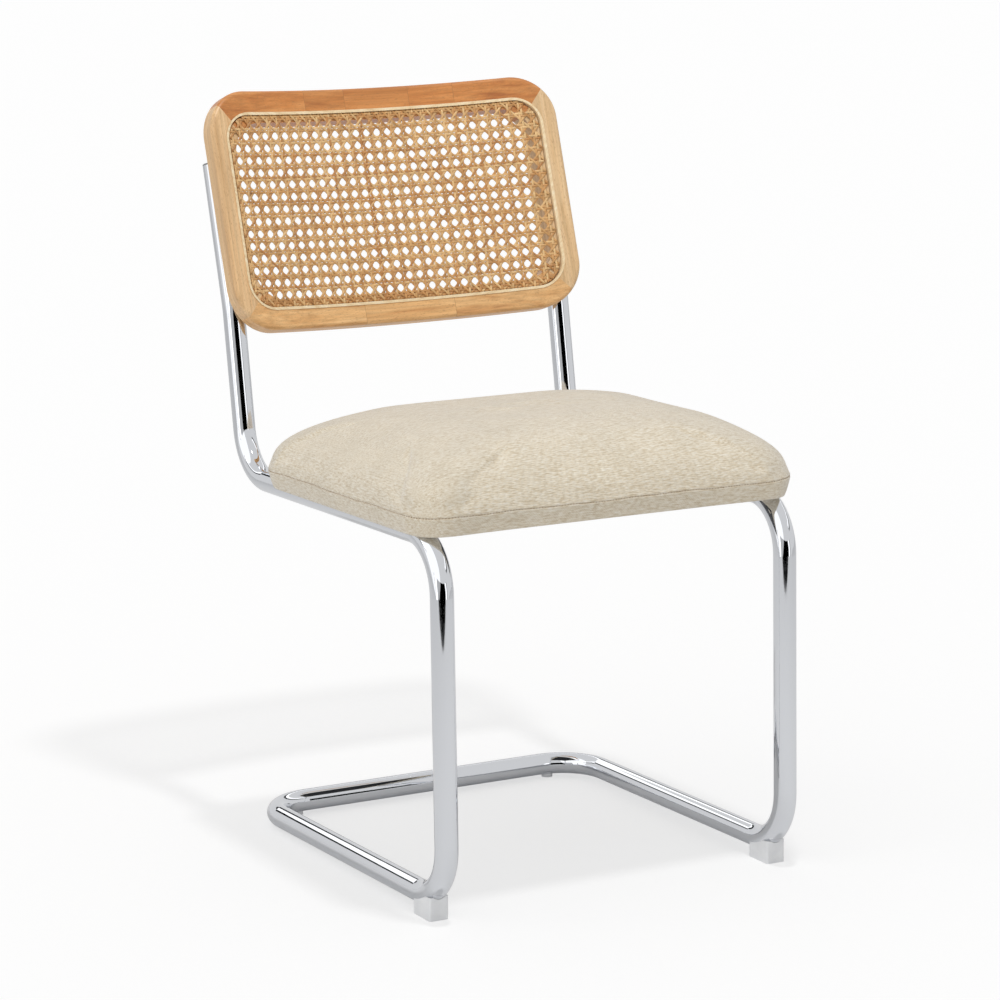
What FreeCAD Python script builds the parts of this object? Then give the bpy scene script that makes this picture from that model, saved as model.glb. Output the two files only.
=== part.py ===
import FreeCAD, Part
import math
import os
import re
import Sketcher
from FreeCAD import Placement, Rotation, Vector

# Cantilever chair, millimetres. X to the sitter's left, Y to the back, Z up.
# The origin is on the floor, in the middle of the chair's plan.

doc = FreeCAD.newDocument("CantileverChair")

# Driving dimensions: name, value, meaning
SIZES = (
    ("tube_diameter", 25.0, "outside of the bent steel tube"),
    ("tube_wall", 2.0, "thickness of the tube's wall"),
    ("frame_width", 418.2, "between the centre lines of the two sides"),
    ("front_offset", 290.2, "from the origin forward to the front floor corner"),
    ("runner_run", 452.0, "front floor corner to rear floor corner, along Y"),
    ("front_glide_height", 10.0, "floor to the underside of the tube at the front"),
    ("rear_glide_height", 3.1, "floor to the underside of the tube at the back"),
    ("leg_lean", 8.9, "how far the front leg leans back over its height"),
    ("rail_height", 408.6, "floor to the tube's centre at the front of the seat rail"),
    ("rail_run", 463.9, "length of the seat rail along Y, corner to corner"),
    ("rail_drop", 9.5, "how much lower the seat rail is at the back"),
    ("upright_rise", 186.2, "height of the lower upright"),
    ("upright_rake", 9.84, "degrees that the lower upright leans back"),
    ("head_length", 163.0, "length of the upper upright, behind the backrest"),
    ("head_rake", 16.5, "degrees that the upper upright leans back"),
    ("floor_corner_radius", 55.0, "bend between a runner and the rear crossbar"),
    ("leg_bend_radius", 60.0, "bends at both ends of the front leg"),
    ("seat_bend_radius", 60.0, "bend between the seat rail and the upright"),
    ("upright_bend_radius", 120.0, "slight bend halfway up the upright"),
    ("cap_flange", 2.0, "thickness of the end cap outside the tube"),
    ("cap_depth", 14.0, "length of the end cap inside the tube"),
    ("cap_taper", 2.0, "length of the cap's tapered tip"),
    ("cap_edge", 0.6, "bevel round the end cap"),
    ("glide_length", 38.0, "front glide along the runner"),
    ("glide_width", 23.0, "front glide across the runner"),
    ("glide_block", 25.5, "height of the front glide's block before it is saddled"),
    ("glide_setback", 37.3, "front floor corner to the middle of the front glide"),
    ("glide_corner", 3.0, "rounding of the glide's upright edges"),
    ("pad_diameter", 13.0, "rear glide across"),
    ("pad_block", 7.0, "height of the rear glide's block before it is saddled"),
    ("pad_spacing", 330.0, "between the two rear glides"),
    ("peg_diameter", 6.0, "peg that holds a glide in the tube"),
    ("peg_reach", 5.0, "how far a peg stands inside the tube's outer face"),
    ("saddle_mark", 1.6, "front glide's peg above the floor side of the tube"),
    ("seat_width", 468.0, "cushion across at its seam"),
    ("seat_depth", 397.0, "cushion from front to back at its seam"),
    ("seat_overhang", 4.3, "cushion in front of the rail's front corner"),
    ("seat_corner", 44.0, "rounding of the cushion's corners at the seam"),
    ("seam_height", 23.5, "seam above the cushion's lower edge"),
    ("crown_height", 63.5, "top of the cushion above the seam"),
    ("draw_in", 5.0, "how far the lower edge tucks in under the seam"),
    ("cover_thickness", 1.3, "upholstery cloth with its backing"),
    ("board_thickness", 18.0, "plywood seat board"),
    ("board_groove", 9.3, "depth of the board's grooves for the rails"),
    ("board_edge", 2.0, "rounding of the board's upper edge"),
    ("dust_cover_thickness", 1.0, "cloth under the seat board"),
    ("dust_cover_margin", 8.0, "dust cover to the rails and to the board's edge"),
    ("seat_screw_front", 95.0, "cushion's front edge to the front pair of screws"),
    ("seat_screw_rear", 330.0, "cushion's front edge to the rear pair of screws"),
    ("screw_diameter", 6.0, "machine screws of the seat and of the back"),
    ("screw_head_diameter", 11.0, "pan head across"),
    ("screw_head_height", 3.4, "pan head"),
    ("screw_head_edge", 1.6, "bevel round the pan head"),
    ("screw_tip", 1.0, "bevel round a screw's tip, and the space past a back screw's tip"),
    ("washer_diameter", 14.0, "saddle washer across"),
    ("washer_thickness", 1.6, "saddle washer at its thinnest"),
    ("inner_washer", 12.0, "saddle washer inside the seat rail, across"),
    ("access_hole", 13.0, "hole under the seat rail for a screw's head and washer"),
    ("hole_reach", 1.0, "holes drawn past the face that they open in"),
    ("tee_nut_flange", 19.0, "tee nut's flange across"),
    ("tee_nut_barrel", 8.0, "tee nut's barrel across"),
    ("tee_nut_depth", 9.0, "length of the tee nut's barrel"),
    ("tee_nut_sheet", 1.4, "thickness of the tee nut's flange"),
    ("insert_diameter", 9.0, "threaded insert in the stile"),
    ("insert_length", 12.0, "threaded insert in the stile"),
    ("back_screw_low", 45.0, "slight bend to the lower back screw, up the tube"),
    ("back_screw_high", 125.0, "slight bend to the upper back screw, up the tube"),
    ("back_screw_bite", 13.0, "back screw in front of the tube"),
    ("back_width", 445.2, "backrest across"),
    ("back_height", 275.5, "backrest from lower to upper edge"),
    ("back_thickness", 26.0, "backrest members, front to back"),
    ("back_curve", 841.0, "radius of the hollow front face"),
    ("back_rake", 18.2, "degrees that the backrest leans back"),
    ("back_corner", 52.0, "rounding of the backrest's outer corners"),
    ("back_edge", 4.5, "rounding along the backrest's outer edges"),
    ("back_drop", 34.3, "backrest's lower edge below the slight bend"),
    ("back_stand", 13.0, "front face in front of the tube's centre at the slight bend"),
    ("stile_face", 18.6, "stile beside the spline"),
    ("top_rail_face", 25.2, "top rail above the spline"),
    ("bottom_rail_face", 22.3, "bottom rail below the spline"),
    ("groove_width", 4.4, "groove for the cane's edge and its spline"),
    ("groove_depth", 5.0, "groove for the cane's edge and its spline"),
    ("groove_corner", 35.0, "rounding of the groove's outer corners"),
    ("ledge_width", 7.5, "ledge behind the cane, inside the groove"),
    ("ledge_drop", 2.4, "ledge below the front face"),
    ("cane_thickness", 1.4, "woven cane"),
    ("cane_pitch", 16.9, "spacing of the cane's openings"),
    ("cane_opening", 10.6, "opening of the cane, across its flats"),
    ("cane_margin", 2.0, "least web between an opening and the cane's edge"),
    ("spline_proud", 0.8, "reed spline above the front face"),
    ("dowel_diameter", 7.0, "dowels across the mitres"),
    ("dowel_length", 24.0, "dowels across the mitres"),
    ("dowel_spacing", 14.0, "between the two dowels of a mitre"),
    ("dowel_end_gap", 1.0, "space past each end of a dowel"),
    ("bed_clearance", 0.1, "tube in its grooves and saddles"),
    ("hole_clearance", 0.25, "round pieces in their holes, on the radius"),
    ("piece_clearance", 0.1, "between pieces that lie side by side"),
)

sheet = doc.addObject("Spreadsheet::Sheet", "Sizes")
for row, (alias, number, meaning) in enumerate(SIZES, start=1):
    sheet.set(f"A{row}", meaning)
    sheet.set(f"B{row}", str(number))
    sheet.setAlias(f"B{row}", alias)
doc.recompute()

ALIASES = re.compile(r"\b(" + "|".join(alias for alias, _, _ in SIZES) + r")\b")


def size(alias):
    """A driving dimension as a number."""
    return float(sheet.get(alias))


def worked(expression):
    """The number that an expression of driving dimensions stands for."""
    names = {alias: size(alias) for alias in ALIASES.findall(expression)}
    text = expression
    for alias, number in names.items():
        text = re.sub(rf"\b{alias}\b", repr(number), text)
    return FreeCAD.Units.Quantity(text).Value


def bind(item, **targets):
    """Ties properties of an object to the sheet. Double underscores stand for dots."""
    for target, expression in targets.items():
        item.setExpression(target.replace("__", "."), ALIASES.sub(r"Sizes.\1", expression))
    return item


def negated(expression):
    return f"-1 * ({expression})"


# Places of the tube's corners, in the side view (y, z)

def tube_corners(past_end=0.0):
    """Corners of one side, from the rear floor corner to the tube's upper end."""
    radius = size("tube_diameter") / 2
    front = -size("front_offset")
    floor_front = Vector(0, front, size("front_glide_height") + radius)
    floor_rear = Vector(0, front + size("runner_run"), size("rear_glide_height") + radius)
    rail_front = Vector(0, front + size("leg_lean"), size("rail_height"))
    rail_rear = rail_front + Vector(0, size("rail_run"), -size("rail_drop"))
    rake = math.radians(size("upright_rake"))
    bend = rail_rear + Vector(0, size("upright_rise") * math.tan(rake), size("upright_rise"))
    head = math.radians(size("head_rake"))
    reach = size("head_length") + past_end
    end = bend + Vector(0, reach * math.sin(head), reach * math.cos(head))
    return floor_rear, floor_front, rail_front, rail_rear, bend, end


def leaning(origin, degrees):
    """A frame at origin whose Z leans back from the vertical by degrees."""
    return Placement(origin, Rotation(Vector(-1, 0, 0), degrees))


FLOOR_REAR, FLOOR_FRONT, RAIL_FRONT, RAIL_REAR, BEND, TUBE_END = tube_corners()
HALF_FRAME = size("frame_width") / 2
TUBE_RADIUS = size("tube_diameter") / 2

# Seat frame: origin under the middle of the cushion, on the rails' centre lines
rail_slope = math.degrees(math.atan2(size("rail_drop"), size("rail_run")))
rail_way = (RAIL_REAR - RAIL_FRONT).normalize()
seat_middle = RAIL_FRONT + rail_way * (size("seat_depth") / 2 - size("seat_overhang"))
SEAT_FRAME = leaning(seat_middle, rail_slope)

# Head frame: origin at the slight bend, Z up along the tube
HEAD_FRAME = leaning(BEND, size("head_rake"))

# Back frame: origin in the middle of the backrest's lower edge, on its front face
back_turn = leaning(BEND, size("back_rake"))
BACK_FRAME = leaning(
    back_turn.multVec(Vector(0, -size("back_stand"), -size("back_drop"))), size("back_rake")
)


# Sketches

def new_sketch(name, plane, body=None):
    """An empty sketch on XY or XZ, in a body or standing alone."""
    if body is None:
        item = doc.addObject("Sketcher::SketchObject", name)
        if plane == "XZ":
            item.Placement = Placement(Vector(), Rotation(Vector(1, 0, 0), 90))
        return item
    item = body.newObject("Sketcher::SketchObject", name)
    role = plane + "_Plane"
    support = [face for face in body.Origin.OriginFeatures if face.Role == role][0]
    item.AttachmentSupport = [(support, "")]
    item.MapMode = "FlatFace"
    return item


def constrain(item, kind, *arguments, expression=None):
    index = item.addConstraint(Sketcher.Constraint(kind, *arguments))
    if expression is not None:
        item.setExpression(f"Constraints[{index}]", ALIASES.sub(r"Sizes.\1", expression))
    return index


def rounded_rectangle(item, width, height, corner):
    """Draws a rectangle with round corners, centred on the sketch's origin."""
    across = worked(width) / 2
    along = worked(height) / 2
    radius = worked(corner)
    right, top = across - radius, along - radius
    quarter = math.pi / 2
    lines = (
        (Vector(-right, -along, 0), Vector(right, -along, 0)),
        (Vector(across, -top, 0), Vector(across, top, 0)),
        (Vector(right, along, 0), Vector(-right, along, 0)),
        (Vector(-across, top, 0), Vector(-across, -top, 0)),
    )
    centres = ((right, -top), (right, top), (-right, top), (-right, -top))
    first = item.GeometryCount
    for side in range(4):
        item.addGeometry(Part.LineSegment(*lines[side]), False)
        circle = Part.Circle(Vector(*centres[side], 0), Vector(0, 0, 1), radius)
        start = (side - 1) * quarter
        item.addGeometry(Part.ArcOfCircle(circle, start, start + quarter), False)
    edges = [first + step for step in range(8)]
    for step in range(0, 8, 2):
        constrain(item, "Tangent", edges[step], 2, edges[step + 1], 1)
        constrain(item, "Tangent", edges[step + 1], 2, edges[(step + 2) % 8], 1)
    for step in (0, 4):
        constrain(item, "Horizontal", edges[step])
    for step in (2, 6):
        constrain(item, "Vertical", edges[step])
    for step in (3, 5, 7):
        constrain(item, "Equal", edges[1], edges[step])
    constrain(item, "Radius", edges[1], radius, expression=corner)
    constrain(item, "DistanceX", -1, 1, edges[2], 1, across, expression=f"({width}) / 2")
    constrain(item, "DistanceX", edges[6], 1, -1, 1, across, expression=f"({width}) / 2")
    constrain(item, "DistanceY", -1, 1, edges[4], 1, along, expression=f"({height}) / 2")
    constrain(item, "DistanceY", edges[0], 1, -1, 1, along, expression=f"({height}) / 2")
    return item


def polygon(item, corners):
    """Draws a closed outline through corners given as pairs of expressions."""
    points = [Vector(worked(across), worked(along), 0) for across, along in corners]
    count = len(points)
    for step in range(count):
        item.addGeometry(Part.LineSegment(points[step], points[(step + 1) % count]), False)
    for step in range(count):
        constrain(item, "Coincident", step, 2, (step + 1) % count, 1)
    axes = {"DistanceX": -2, "DistanceY": -1}
    for step, pair in enumerate(corners):
        for kind, expression, number in zip(axes, pair, points[step]):
            if abs(number) < 1e-9:
                constrain(item, "PointOnObject", step, 1, axes[kind])
            elif number > 0:
                constrain(item, kind, -1, 1, step, 1, number, expression=expression)
            else:
                ends = (step, 1, -1, 1, -number)
                constrain(item, kind, *ends, expression=negated(expression))
    return item


# Solids

def extruded(name, sketch, length, both_ways=False):
    item = doc.addObject("Part::Extrusion", name)
    item.Base = sketch
    item.DirMode = "Normal"
    item.Solid = True
    item.Symmetric = both_ways
    return bind(item, LengthFwd=length)


def cylinder(name, radius, height, place):
    item = doc.addObject("Part::Cylinder", name)
    bind(item, Radius=radius, Height=height)
    item.Placement = place
    return item


def cut(name, base, tool, place=None):
    item = doc.addObject("Part::Cut", name)
    item.Base = base
    item.Tool = tool
    if place is not None:
        item.Placement = place
    return item


def carved(name, base, tools, place=None):
    """The base less each tool in turn; the tools may overlap each other."""
    for number, tool in enumerate(tools[:-1], start=1):
        base = cut(f"{name}_stage_{number}", base, tool)
    return cut(name, base, tools[-1], place)


def common(name, base, tool, place=None):
    item = doc.addObject("Part::Common", name)
    item.Base = base
    item.Tool = tool
    if place is not None:
        item.Placement = place
    return item


def group(name, members, place=None):
    item = doc.addObject("Part::Compound", name)
    item.Links = members
    if place is not None:
        item.Placement = place
    return item


def copies(name, source, places, frame):
    """Separate copies of one piece as a single node."""
    links = []
    for number, place in enumerate(places, start=1):
        link = doc.addObject("App::Link", f"{name}_{number}")
        link.LinkedObject = source
        link.Placement = place
        links.append(link)
    return group(name, links, frame)


def mirrored(name, source):
    item = doc.addObject("Part::Mirroring", name)
    item.Source = source
    item.Normal = Vector(1, 0, 0)
    return item


def turned(name, corners):
    """A body turned about Z from a half outline of (radius, height) pairs."""
    body = doc.addObject("PartDesign::Body", name)
    profile = polygon(new_sketch(name + "_profile", "XZ", body), corners)
    turn = body.newObject("PartDesign::Revolution", name + "_turn")
    turn.Profile = profile
    turn.ReferenceAxis = (profile, ["V_Axis"])
    turn.Angle = 360
    return body


# Bent steel tube

def bent_path(corners, radii):
    """Straight runs joined by tangent arcs, one arc at each inner corner."""
    edges = []
    start = corners[0]
    for before, corner, after, radius in zip(corners, corners[1:], corners[2:], radii):
        back = (before - corner).normalize()
        ahead = (after - corner).normalize()
        half = back.getAngle(ahead) / 2
        setback = radius / math.tan(half)
        inward = (back + ahead).normalize()
        middle = corner + inward * (radius / math.sin(half) - radius)
        enter = corner + back * setback
        leave = corner + ahead * setback
        edges.append(Part.LineSegment(start, enter).toShape())
        edges.append(Part.Arc(enter, middle, leave).toShape())
        start = leave
    edges.append(Part.LineSegment(start, corners[-1]).toShape())
    return Part.Wire(edges)


def tube_path(name, past_end=0.0):
    """The whole centre line, from one upper end down, round the floor and up again."""
    side = tube_corners(past_end)
    left = [corner + Vector(-HALF_FRAME, 0, 0) for corner in reversed(side)]
    right = [corner + Vector(HALF_FRAME, 0, 0) for corner in side]
    upper = [size("upright_bend_radius"), size("seat_bend_radius")]
    lower = [size("leg_bend_radius"), size("leg_bend_radius"), size("floor_corner_radius")]
    item = doc.addObject("Part::Feature", name)
    item.Shape = bent_path(left + right, upper + lower + lower[::-1] + upper[::-1])
    return item


def swept(name, path, radius):
    """A round bar along a path that starts at its left upper end."""
    ring = doc.addObject("Part::Circle", name + "_ring")
    bind(ring, Radius=radius)
    edge = path.Shape.OrderedEdges[0]
    start = path.Shape.OrderedVertexes[0].Point
    way = edge.tangentAt(edge.FirstParameter)
    ring.Placement = Placement(start, Rotation(Vector(0, 0, 1), way))
    item = doc.addObject("Part::Sweep", name)
    item.Sections = [ring]
    item.Spine = (path, [f"Edge{number}" for number in range(1, len(path.Shape.Edges) + 1)])
    item.Solid = True
    return item


centre_line = tube_path("tube_centre_line")
tube_bar = swept("tube_bar", centre_line, "tube_diameter / 2")
tube_bore = swept("tube_bore", centre_line, "tube_diameter / 2 - tube_wall")
bed_line = tube_path("tube_bed_line", size("cap_flange") + size("bed_clearance"))
tube_bed = swept("tube_bed", bed_line, "tube_diameter / 2 + bed_clearance")
tube_shell = cut("tube_shell", tube_bar, tube_bore)

# Holes across the tube for the seat screws, the back screws and the glides' pegs
SIDES = (-1, 1)
DOWN = Rotation(Vector(1, 0, 0), 180)
FORWARD = Rotation(Vector(1, 0, 0), 90)
screw_stations = [
    Vector(side * HALF_FRAME, along - size("seat_depth") / 2, 0)
    for side in SIDES
    for along in (size("seat_screw_front"), size("seat_screw_rear"))
]
back_stations = [
    Vector(side * HALF_FRAME, 0, up)
    for side in SIDES
    for up in (size("back_screw_low"), size("back_screw_high"))
]
glide_station = FLOOR_FRONT + Vector(0, size("glide_setback"), 0)
corner_centre = Vector(
    HALF_FRAME - size("floor_corner_radius"), FLOOR_REAR.y - size("floor_corner_radius"), 0
)
pad_across = size("pad_spacing") / 2 - corner_centre.x
pad_along = math.sqrt(size("floor_corner_radius") ** 2 - max(pad_across, 0) ** 2)
PAD_SPOT = Vector(-size("pad_spacing") / 2, corner_centre.y + pad_along, 0)
GLIDE_SPOT = Vector(-HALF_FRAME, glide_station.y, 0)

tube_holes = []
radius = "screw_diameter / 2 + hole_clearance"
wall_reach = "tube_diameter / 2 + hole_reach"
for number, spot in enumerate(screw_stations, start=1):
    place = SEAT_FRAME.multiply(Placement(spot, Rotation()))
    tube_holes.append(cylinder(f"seat_screw_hole_{number}", radius, wall_reach, place))
    place = SEAT_FRAME.multiply(Placement(spot, DOWN))
    tube_holes.append(cylinder(f"seat_access_hole_{number}", "access_hole / 2", wall_reach, place))
for number, spot in enumerate(back_stations, start=1):
    start = spot + Vector(0, worked(wall_reach), 0)
    place = HEAD_FRAME.multiply(Placement(start, FORWARD))
    tube_holes.append(cylinder(f"back_screw_hole_{number}", radius, f"2 * ({wall_reach})", place))
peg_radius = "peg_diameter / 2 + hole_clearance"
for name, spot in (("glide", GLIDE_SPOT), ("pad", PAD_SPOT)):
    place = Placement(spot, Rotation())
    left_hole = cylinder(f"{name}_peg_hole", peg_radius, "rear_glide_height + tube_diameter / 2", place)
    tube_holes += [left_hole, mirrored(f"{name}_peg_hole_right", left_hole)]
frame_tube = cut("frame_tube", tube_shell, group("tube_holes", tube_holes))

# End caps in the two upper ends
cap_plug = "tube_diameter / 2 - tube_wall - bed_clearance"
end_cap = turned("end_cap", (
    ("0", "0"), (f"{cap_plug} - cap_edge", "0"), (cap_plug, "cap_taper"), (cap_plug, "cap_depth"),
    ("tube_diameter / 2", "cap_depth"), ("tube_diameter / 2", "cap_depth + cap_flange - cap_edge"),
    ("tube_diameter / 2 - cap_edge", "cap_depth + cap_flange"), ("0", "cap_depth + cap_flange"),
))
cap_height = size("head_length") - size("cap_depth")
cap_places = {
    side: HEAD_FRAME.multiply(Placement(Vector(side * HALF_FRAME, 0, cap_height), Rotation()))
    for side in SIDES
}
left_cap = group("tube_end_cap_left", [end_cap], cap_places[-1])
right_cap = group("tube_end_cap_right", [end_cap], cap_places[1])


# Glides under the floor runners

def glide(name, plan, spot, height, reach):
    """A moulded foot with a peg, saddled over the tube; reach is the peg's upper end."""
    body = doc.addObject("PartDesign::Body", name + "_block")
    pad = body.newObject("PartDesign::Pad", name + "_pad")
    pad.Profile = plan(new_sketch(name + "_plan", "XY", body))
    bind(pad, Length=height)
    body.Placement = Placement(spot, Rotation())
    saddled = cut(name + "_saddled", body, tube_bed)
    peg = cylinder(name + "_peg", "peg_diameter / 2", reach, Placement(spot, Rotation()))
    left = doc.addObject("Part::MultiFuse", name + "_left")
    left.Shapes = [saddled, peg]
    return left, mirrored(name + "_right", left)


def glide_plan(item):
    return rounded_rectangle(item, "glide_width", "glide_length", "glide_corner")


def pad_plan(item):
    item.addGeometry(Part.Circle(Vector(), Vector(0, 0, 1), size("pad_diameter") / 2), False)
    constrain(item, "Coincident", 0, 3, -1, 1)
    constrain(item, "Diameter", 0, size("pad_diameter"), expression="pad_diameter")
    return item


front_glide_left, front_glide_right = glide(
    "front_glide", glide_plan, GLIDE_SPOT, "glide_block", "front_glide_height + saddle_mark + peg_reach"
)
rear_glide_left, rear_glide_right = glide(
    "rear_glide", pad_plan, PAD_SPOT, "pad_block", "rear_glide_height + peg_reach"
)


# Backrest. Its shapes are drawn in its own frame: X across, Y to the back, Z up.

BEYOND = "60"
SLAB_REACH = "(back_width / 2 + 10)"


def curved_slab(name, near, far):
    """The space between two depths behind the hollow front face, over the whole back."""
    sketch = new_sketch(name + "_section", "XY")
    half = worked(SLAB_REACH)
    radii = [size("back_curve") + worked(depth) for depth in (near, far)]
    centre = Vector(0, -size("back_curve"), 0)
    ends = []
    for radius in radii:
        lean = math.asin(half / radius)
        circle = Part.Circle(centre, Vector(0, 0, 1), radius)
        sketch.addGeometry(Part.ArcOfCircle(circle, math.pi / 2 - lean, math.pi / 2 + lean), False)
        rise = radius * math.cos(lean) - size("back_curve")
        ends.append((Vector(half, rise, 0), Vector(-half, rise, 0)))
    for side in (0, 1):
        sketch.addGeometry(Part.LineSegment(ends[0][side], ends[1][side]), False)
        constrain(sketch, "Coincident", 2 + side, 1, 0, 1 + side)
        constrain(sketch, "Coincident", 2 + side, 2, 1, 1 + side)
        constrain(sketch, "Vertical", 2 + side)
    constrain(sketch, "PointOnObject", 0, 3, -2)
    constrain(sketch, "DistanceY", 0, 3, -1, 1, size("back_curve"), expression="back_curve")
    constrain(sketch, "Coincident", 1, 3, 0, 3)
    for arc, depth in enumerate((near, far)):
        constrain(sketch, "Radius", arc, radii[arc], expression=f"back_curve + {depth}")
    constrain(sketch, "DistanceX", -1, 1, 2, 1, half, expression=SLAB_REACH)
    constrain(sketch, "DistanceX", 3, 1, -1, 1, half, expression=SLAB_REACH)
    return extruded(name, sketch, "2 * back_height + 2 * " + BEYOND, both_ways=True)


def plan_block(name, inset, corner):
    """A block right through the back whose outline lies inset inside the groove's edge."""
    width = f"back_width - 2 * stile_face - 2 * ({inset})"
    height = f"back_height - top_rail_face - bottom_rail_face - 2 * ({inset})"
    sketch = rounded_rectangle(new_sketch(name + "_outline", "XZ"), width, height, corner)
    bind(sketch, Placement__Base__z="(back_height - top_rail_face + bottom_rail_face) / 2")
    return extruded(name, sketch, "4 * " + BEYOND, both_ways=True)


# Rounded outer form, hollow to the front
outline = new_sketch("back_outline", "XZ")
rounded_rectangle(outline, "back_width", "back_height", "back_corner")
bind(outline, Placement__Base__z="back_height / 2")
outer_block = extruded("back_outer_block", outline, "4 * " + BEYOND, both_ways=True)
wood_slab = curved_slab("back_wood_slab", "0", "back_thickness")
wood_blank = common("back_blank", wood_slab, outer_block)
doc.recompute()


def outer_edges(item):
    """Numbers of the edges along the front and rear faces of the backrest's blank."""
    found = []
    for number, edge in enumerate(item.Shape.Edges, start=1):
        middle = edge.valueAt((edge.FirstParameter + edge.LastParameter) / 2)
        depth = math.hypot(middle.x, middle.y + size("back_curve")) - size("back_curve")
        if min(abs(depth), abs(depth - size("back_thickness"))) < 1e-3:
            found.append(number)
    return found


wood_round = doc.addObject("Part::Fillet", "back_blank_rounded")
wood_round.Base = wood_blank
rounding = size("back_edge")
wood_round.Edges = [(number, rounding, rounding) for number in outer_edges(wood_blank)]

# Window, ledge and groove, cut right round the four members at once
IN_FRONT = "-10"
window_inset = "groove_width + ledge_width"
window = plan_block("back_window", window_inset, f"groove_corner - {window_inset}")
ledge = common(
    "back_ledge",
    curved_slab("back_ledge_slab", IN_FRONT, "ledge_drop"),
    plan_block("back_ledge_block", "groove_width / 2", "groove_corner - groove_width / 2"),
)
groove_ring = cut(
    "back_groove_ring",
    plan_block("back_groove_outside", "0", "groove_corner"),
    plan_block("back_groove_inside", "groove_width", "groove_corner - groove_width"),
)
groove = common("back_groove", curved_slab("back_groove_slab", IN_FRONT, "groove_depth"), groove_ring)


def mitre_corner(side, upper):
    """Sharp corners of the window and of the outline at one mitre, as (across, up)."""
    inner_across = size("back_width") / 2 - size("stile_face") - worked(window_inset)
    if upper:
        inner_up = size("back_height") - size("top_rail_face") - worked(window_inset)
        outer_up = size("back_height")
    else:
        inner_up = size("bottom_rail_face") + worked(window_inset)
        outer_up = 0.0
    inner = Vector(side * inner_across, 0, inner_up)
    outer = Vector(side * size("back_width") / 2, 0, outer_up)
    return inner, outer


def dowel_places(overlength):
    """Places of two dowels square across each mitre, at half the members' thickness."""
    places = []
    window_radius = size("groove_corner") - worked(window_inset)
    blunt = math.sqrt(2) - 1
    for side in SIDES:
        for upper in (True, False):
            inner, outer = mitre_corner(side, upper)
            way = (outer - inner).normalize()
            span = (outer - inner).Length - blunt * size("back_corner")
            middle = (span - blunt * window_radius) / 2
            across = Vector(way.z, 0, -way.x)
            for step in (-0.5, 0.5):
                spot = inner + way * (middle + step * size("dowel_spacing"))
                ring = size("back_curve") + size("back_thickness") / 2
                spot.y = math.sqrt(ring ** 2 - spot.x ** 2) - size("back_curve")
                spot -= across * (size("dowel_length") / 2 + overlength)
                places.append(Placement(spot, Rotation(Vector(0, 0, 1), across)))
    return places


dowel = cylinder("dowel", "dowel_diameter / 2", "dowel_length", Placement())
corner_dowels = copies("corner_dowels", dowel, dowel_places(0.0), BACK_FRAME)
dowel_hole = cylinder(
    "dowel_hole", "dowel_diameter / 2 + piece_clearance", "dowel_length + 2 * dowel_end_gap", Placement()
)
dowel_holes = copies("dowel_holes", dowel_hole, dowel_places(size("dowel_end_gap")), Placement())

back_ring = carved("back_ring", wood_round, [window, ledge, groove, dowel_holes], BACK_FRAME)

# Threaded inserts behind the stiles, and the screws' tips in front of them
insert = turned("insert", (
    ("screw_diameter / 2", "0"), ("insert_diameter / 2", "0"),
    ("insert_diameter / 2", "insert_length"), ("screw_diameter / 2", "insert_length"),
))
insert_places = [
    Placement(spot - Vector(0, TUBE_RADIUS + size("bed_clearance"), 0), FORWARD)
    for spot in back_stations
]
back_inserts = copies("back_inserts", insert, insert_places, HEAD_FRAME)
insert_holes = [
    cylinder(
        f"insert_hole_{number}", "insert_diameter / 2 + piece_clearance",
        "insert_length + tube_diameter / 2 + 3",
        HEAD_FRAME.multiply(Placement(spot, FORWARD)),
    )
    for number, spot in enumerate(back_stations, start=1)
]
bedded_ring = carved("back_bedded_ring", back_ring, [tube_bed, group("insert_holes", insert_holes)])


DEPTH = 2 * float(BEYOND)


def deep_prism(face):
    """A face drawn at Y = -DEPTH, drawn out along Y right through the backrest."""
    return face.extrude(Vector(0, 2 * DEPTH, 0))


def member(name, corners):
    """One mitred member: the ring inside a wedge between two mitre lines."""
    points = []
    for (side, upper), reach in corners:
        inner, outer = mitre_corner(side, upper)
        points.append(inner + (outer - inner) * reach - Vector(0, DEPTH, 0))
    points.append(points[0])
    wedge = doc.addObject("Part::Feature", name + "_wedge")
    wedge.Shape = deep_prism(Part.Face(Part.makePolygon(points)))
    wedge.Placement = BACK_FRAME
    return common(name, bedded_ring, wedge)


IN, OUT = -1.0, 2.5
back_top_rail = member("back_top_rail", (
    ((-1, True), IN), ((-1, True), OUT), ((1, True), OUT), ((1, True), IN),
))
back_bottom_rail = member("back_bottom_rail", (
    ((-1, False), IN), ((-1, False), OUT), ((1, False), OUT), ((1, False), IN),
))
back_left_stile = member("back_left_stile", (
    ((-1, False), IN), ((-1, False), OUT), ((-1, True), OUT), ((-1, True), IN),
))
back_right_stile = member("back_right_stile", (
    ((1, False), IN), ((1, False), OUT), ((1, True), OUT), ((1, True), IN),
))

# Woven cane: a holed sheet whose edge is turned down into the groove
lip = "groove_width * 0.22"
sheet_inset = f"groove_width - {lip}"


def faceted_slab(name, near, far):
    """A slab behind the front face in narrow flats, one for each column of openings."""
    steps = int(size("back_width") / 2 / size("cane_pitch")) + 1
    levels = [step + 0.5 for step in range(-steps, steps)]
    front, rear = [], []
    for level in levels:
        across = f"cane_pitch * ({level})"
        for depth, corners in ((near, front), (far, rear)):
            sag = f"sqrt((back_curve + {depth})^2 - ({across})^2) - back_curve"
            corners.append((across, sag))
    sketch = polygon(new_sketch(name + "_section", "XY"), front + rear[::-1])
    return extruded(name, sketch, "2 * back_height + 2 * " + BEYOND, both_ways=True)


cane_slab = faceted_slab("cane_slab", "0", "cane_thickness")


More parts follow.
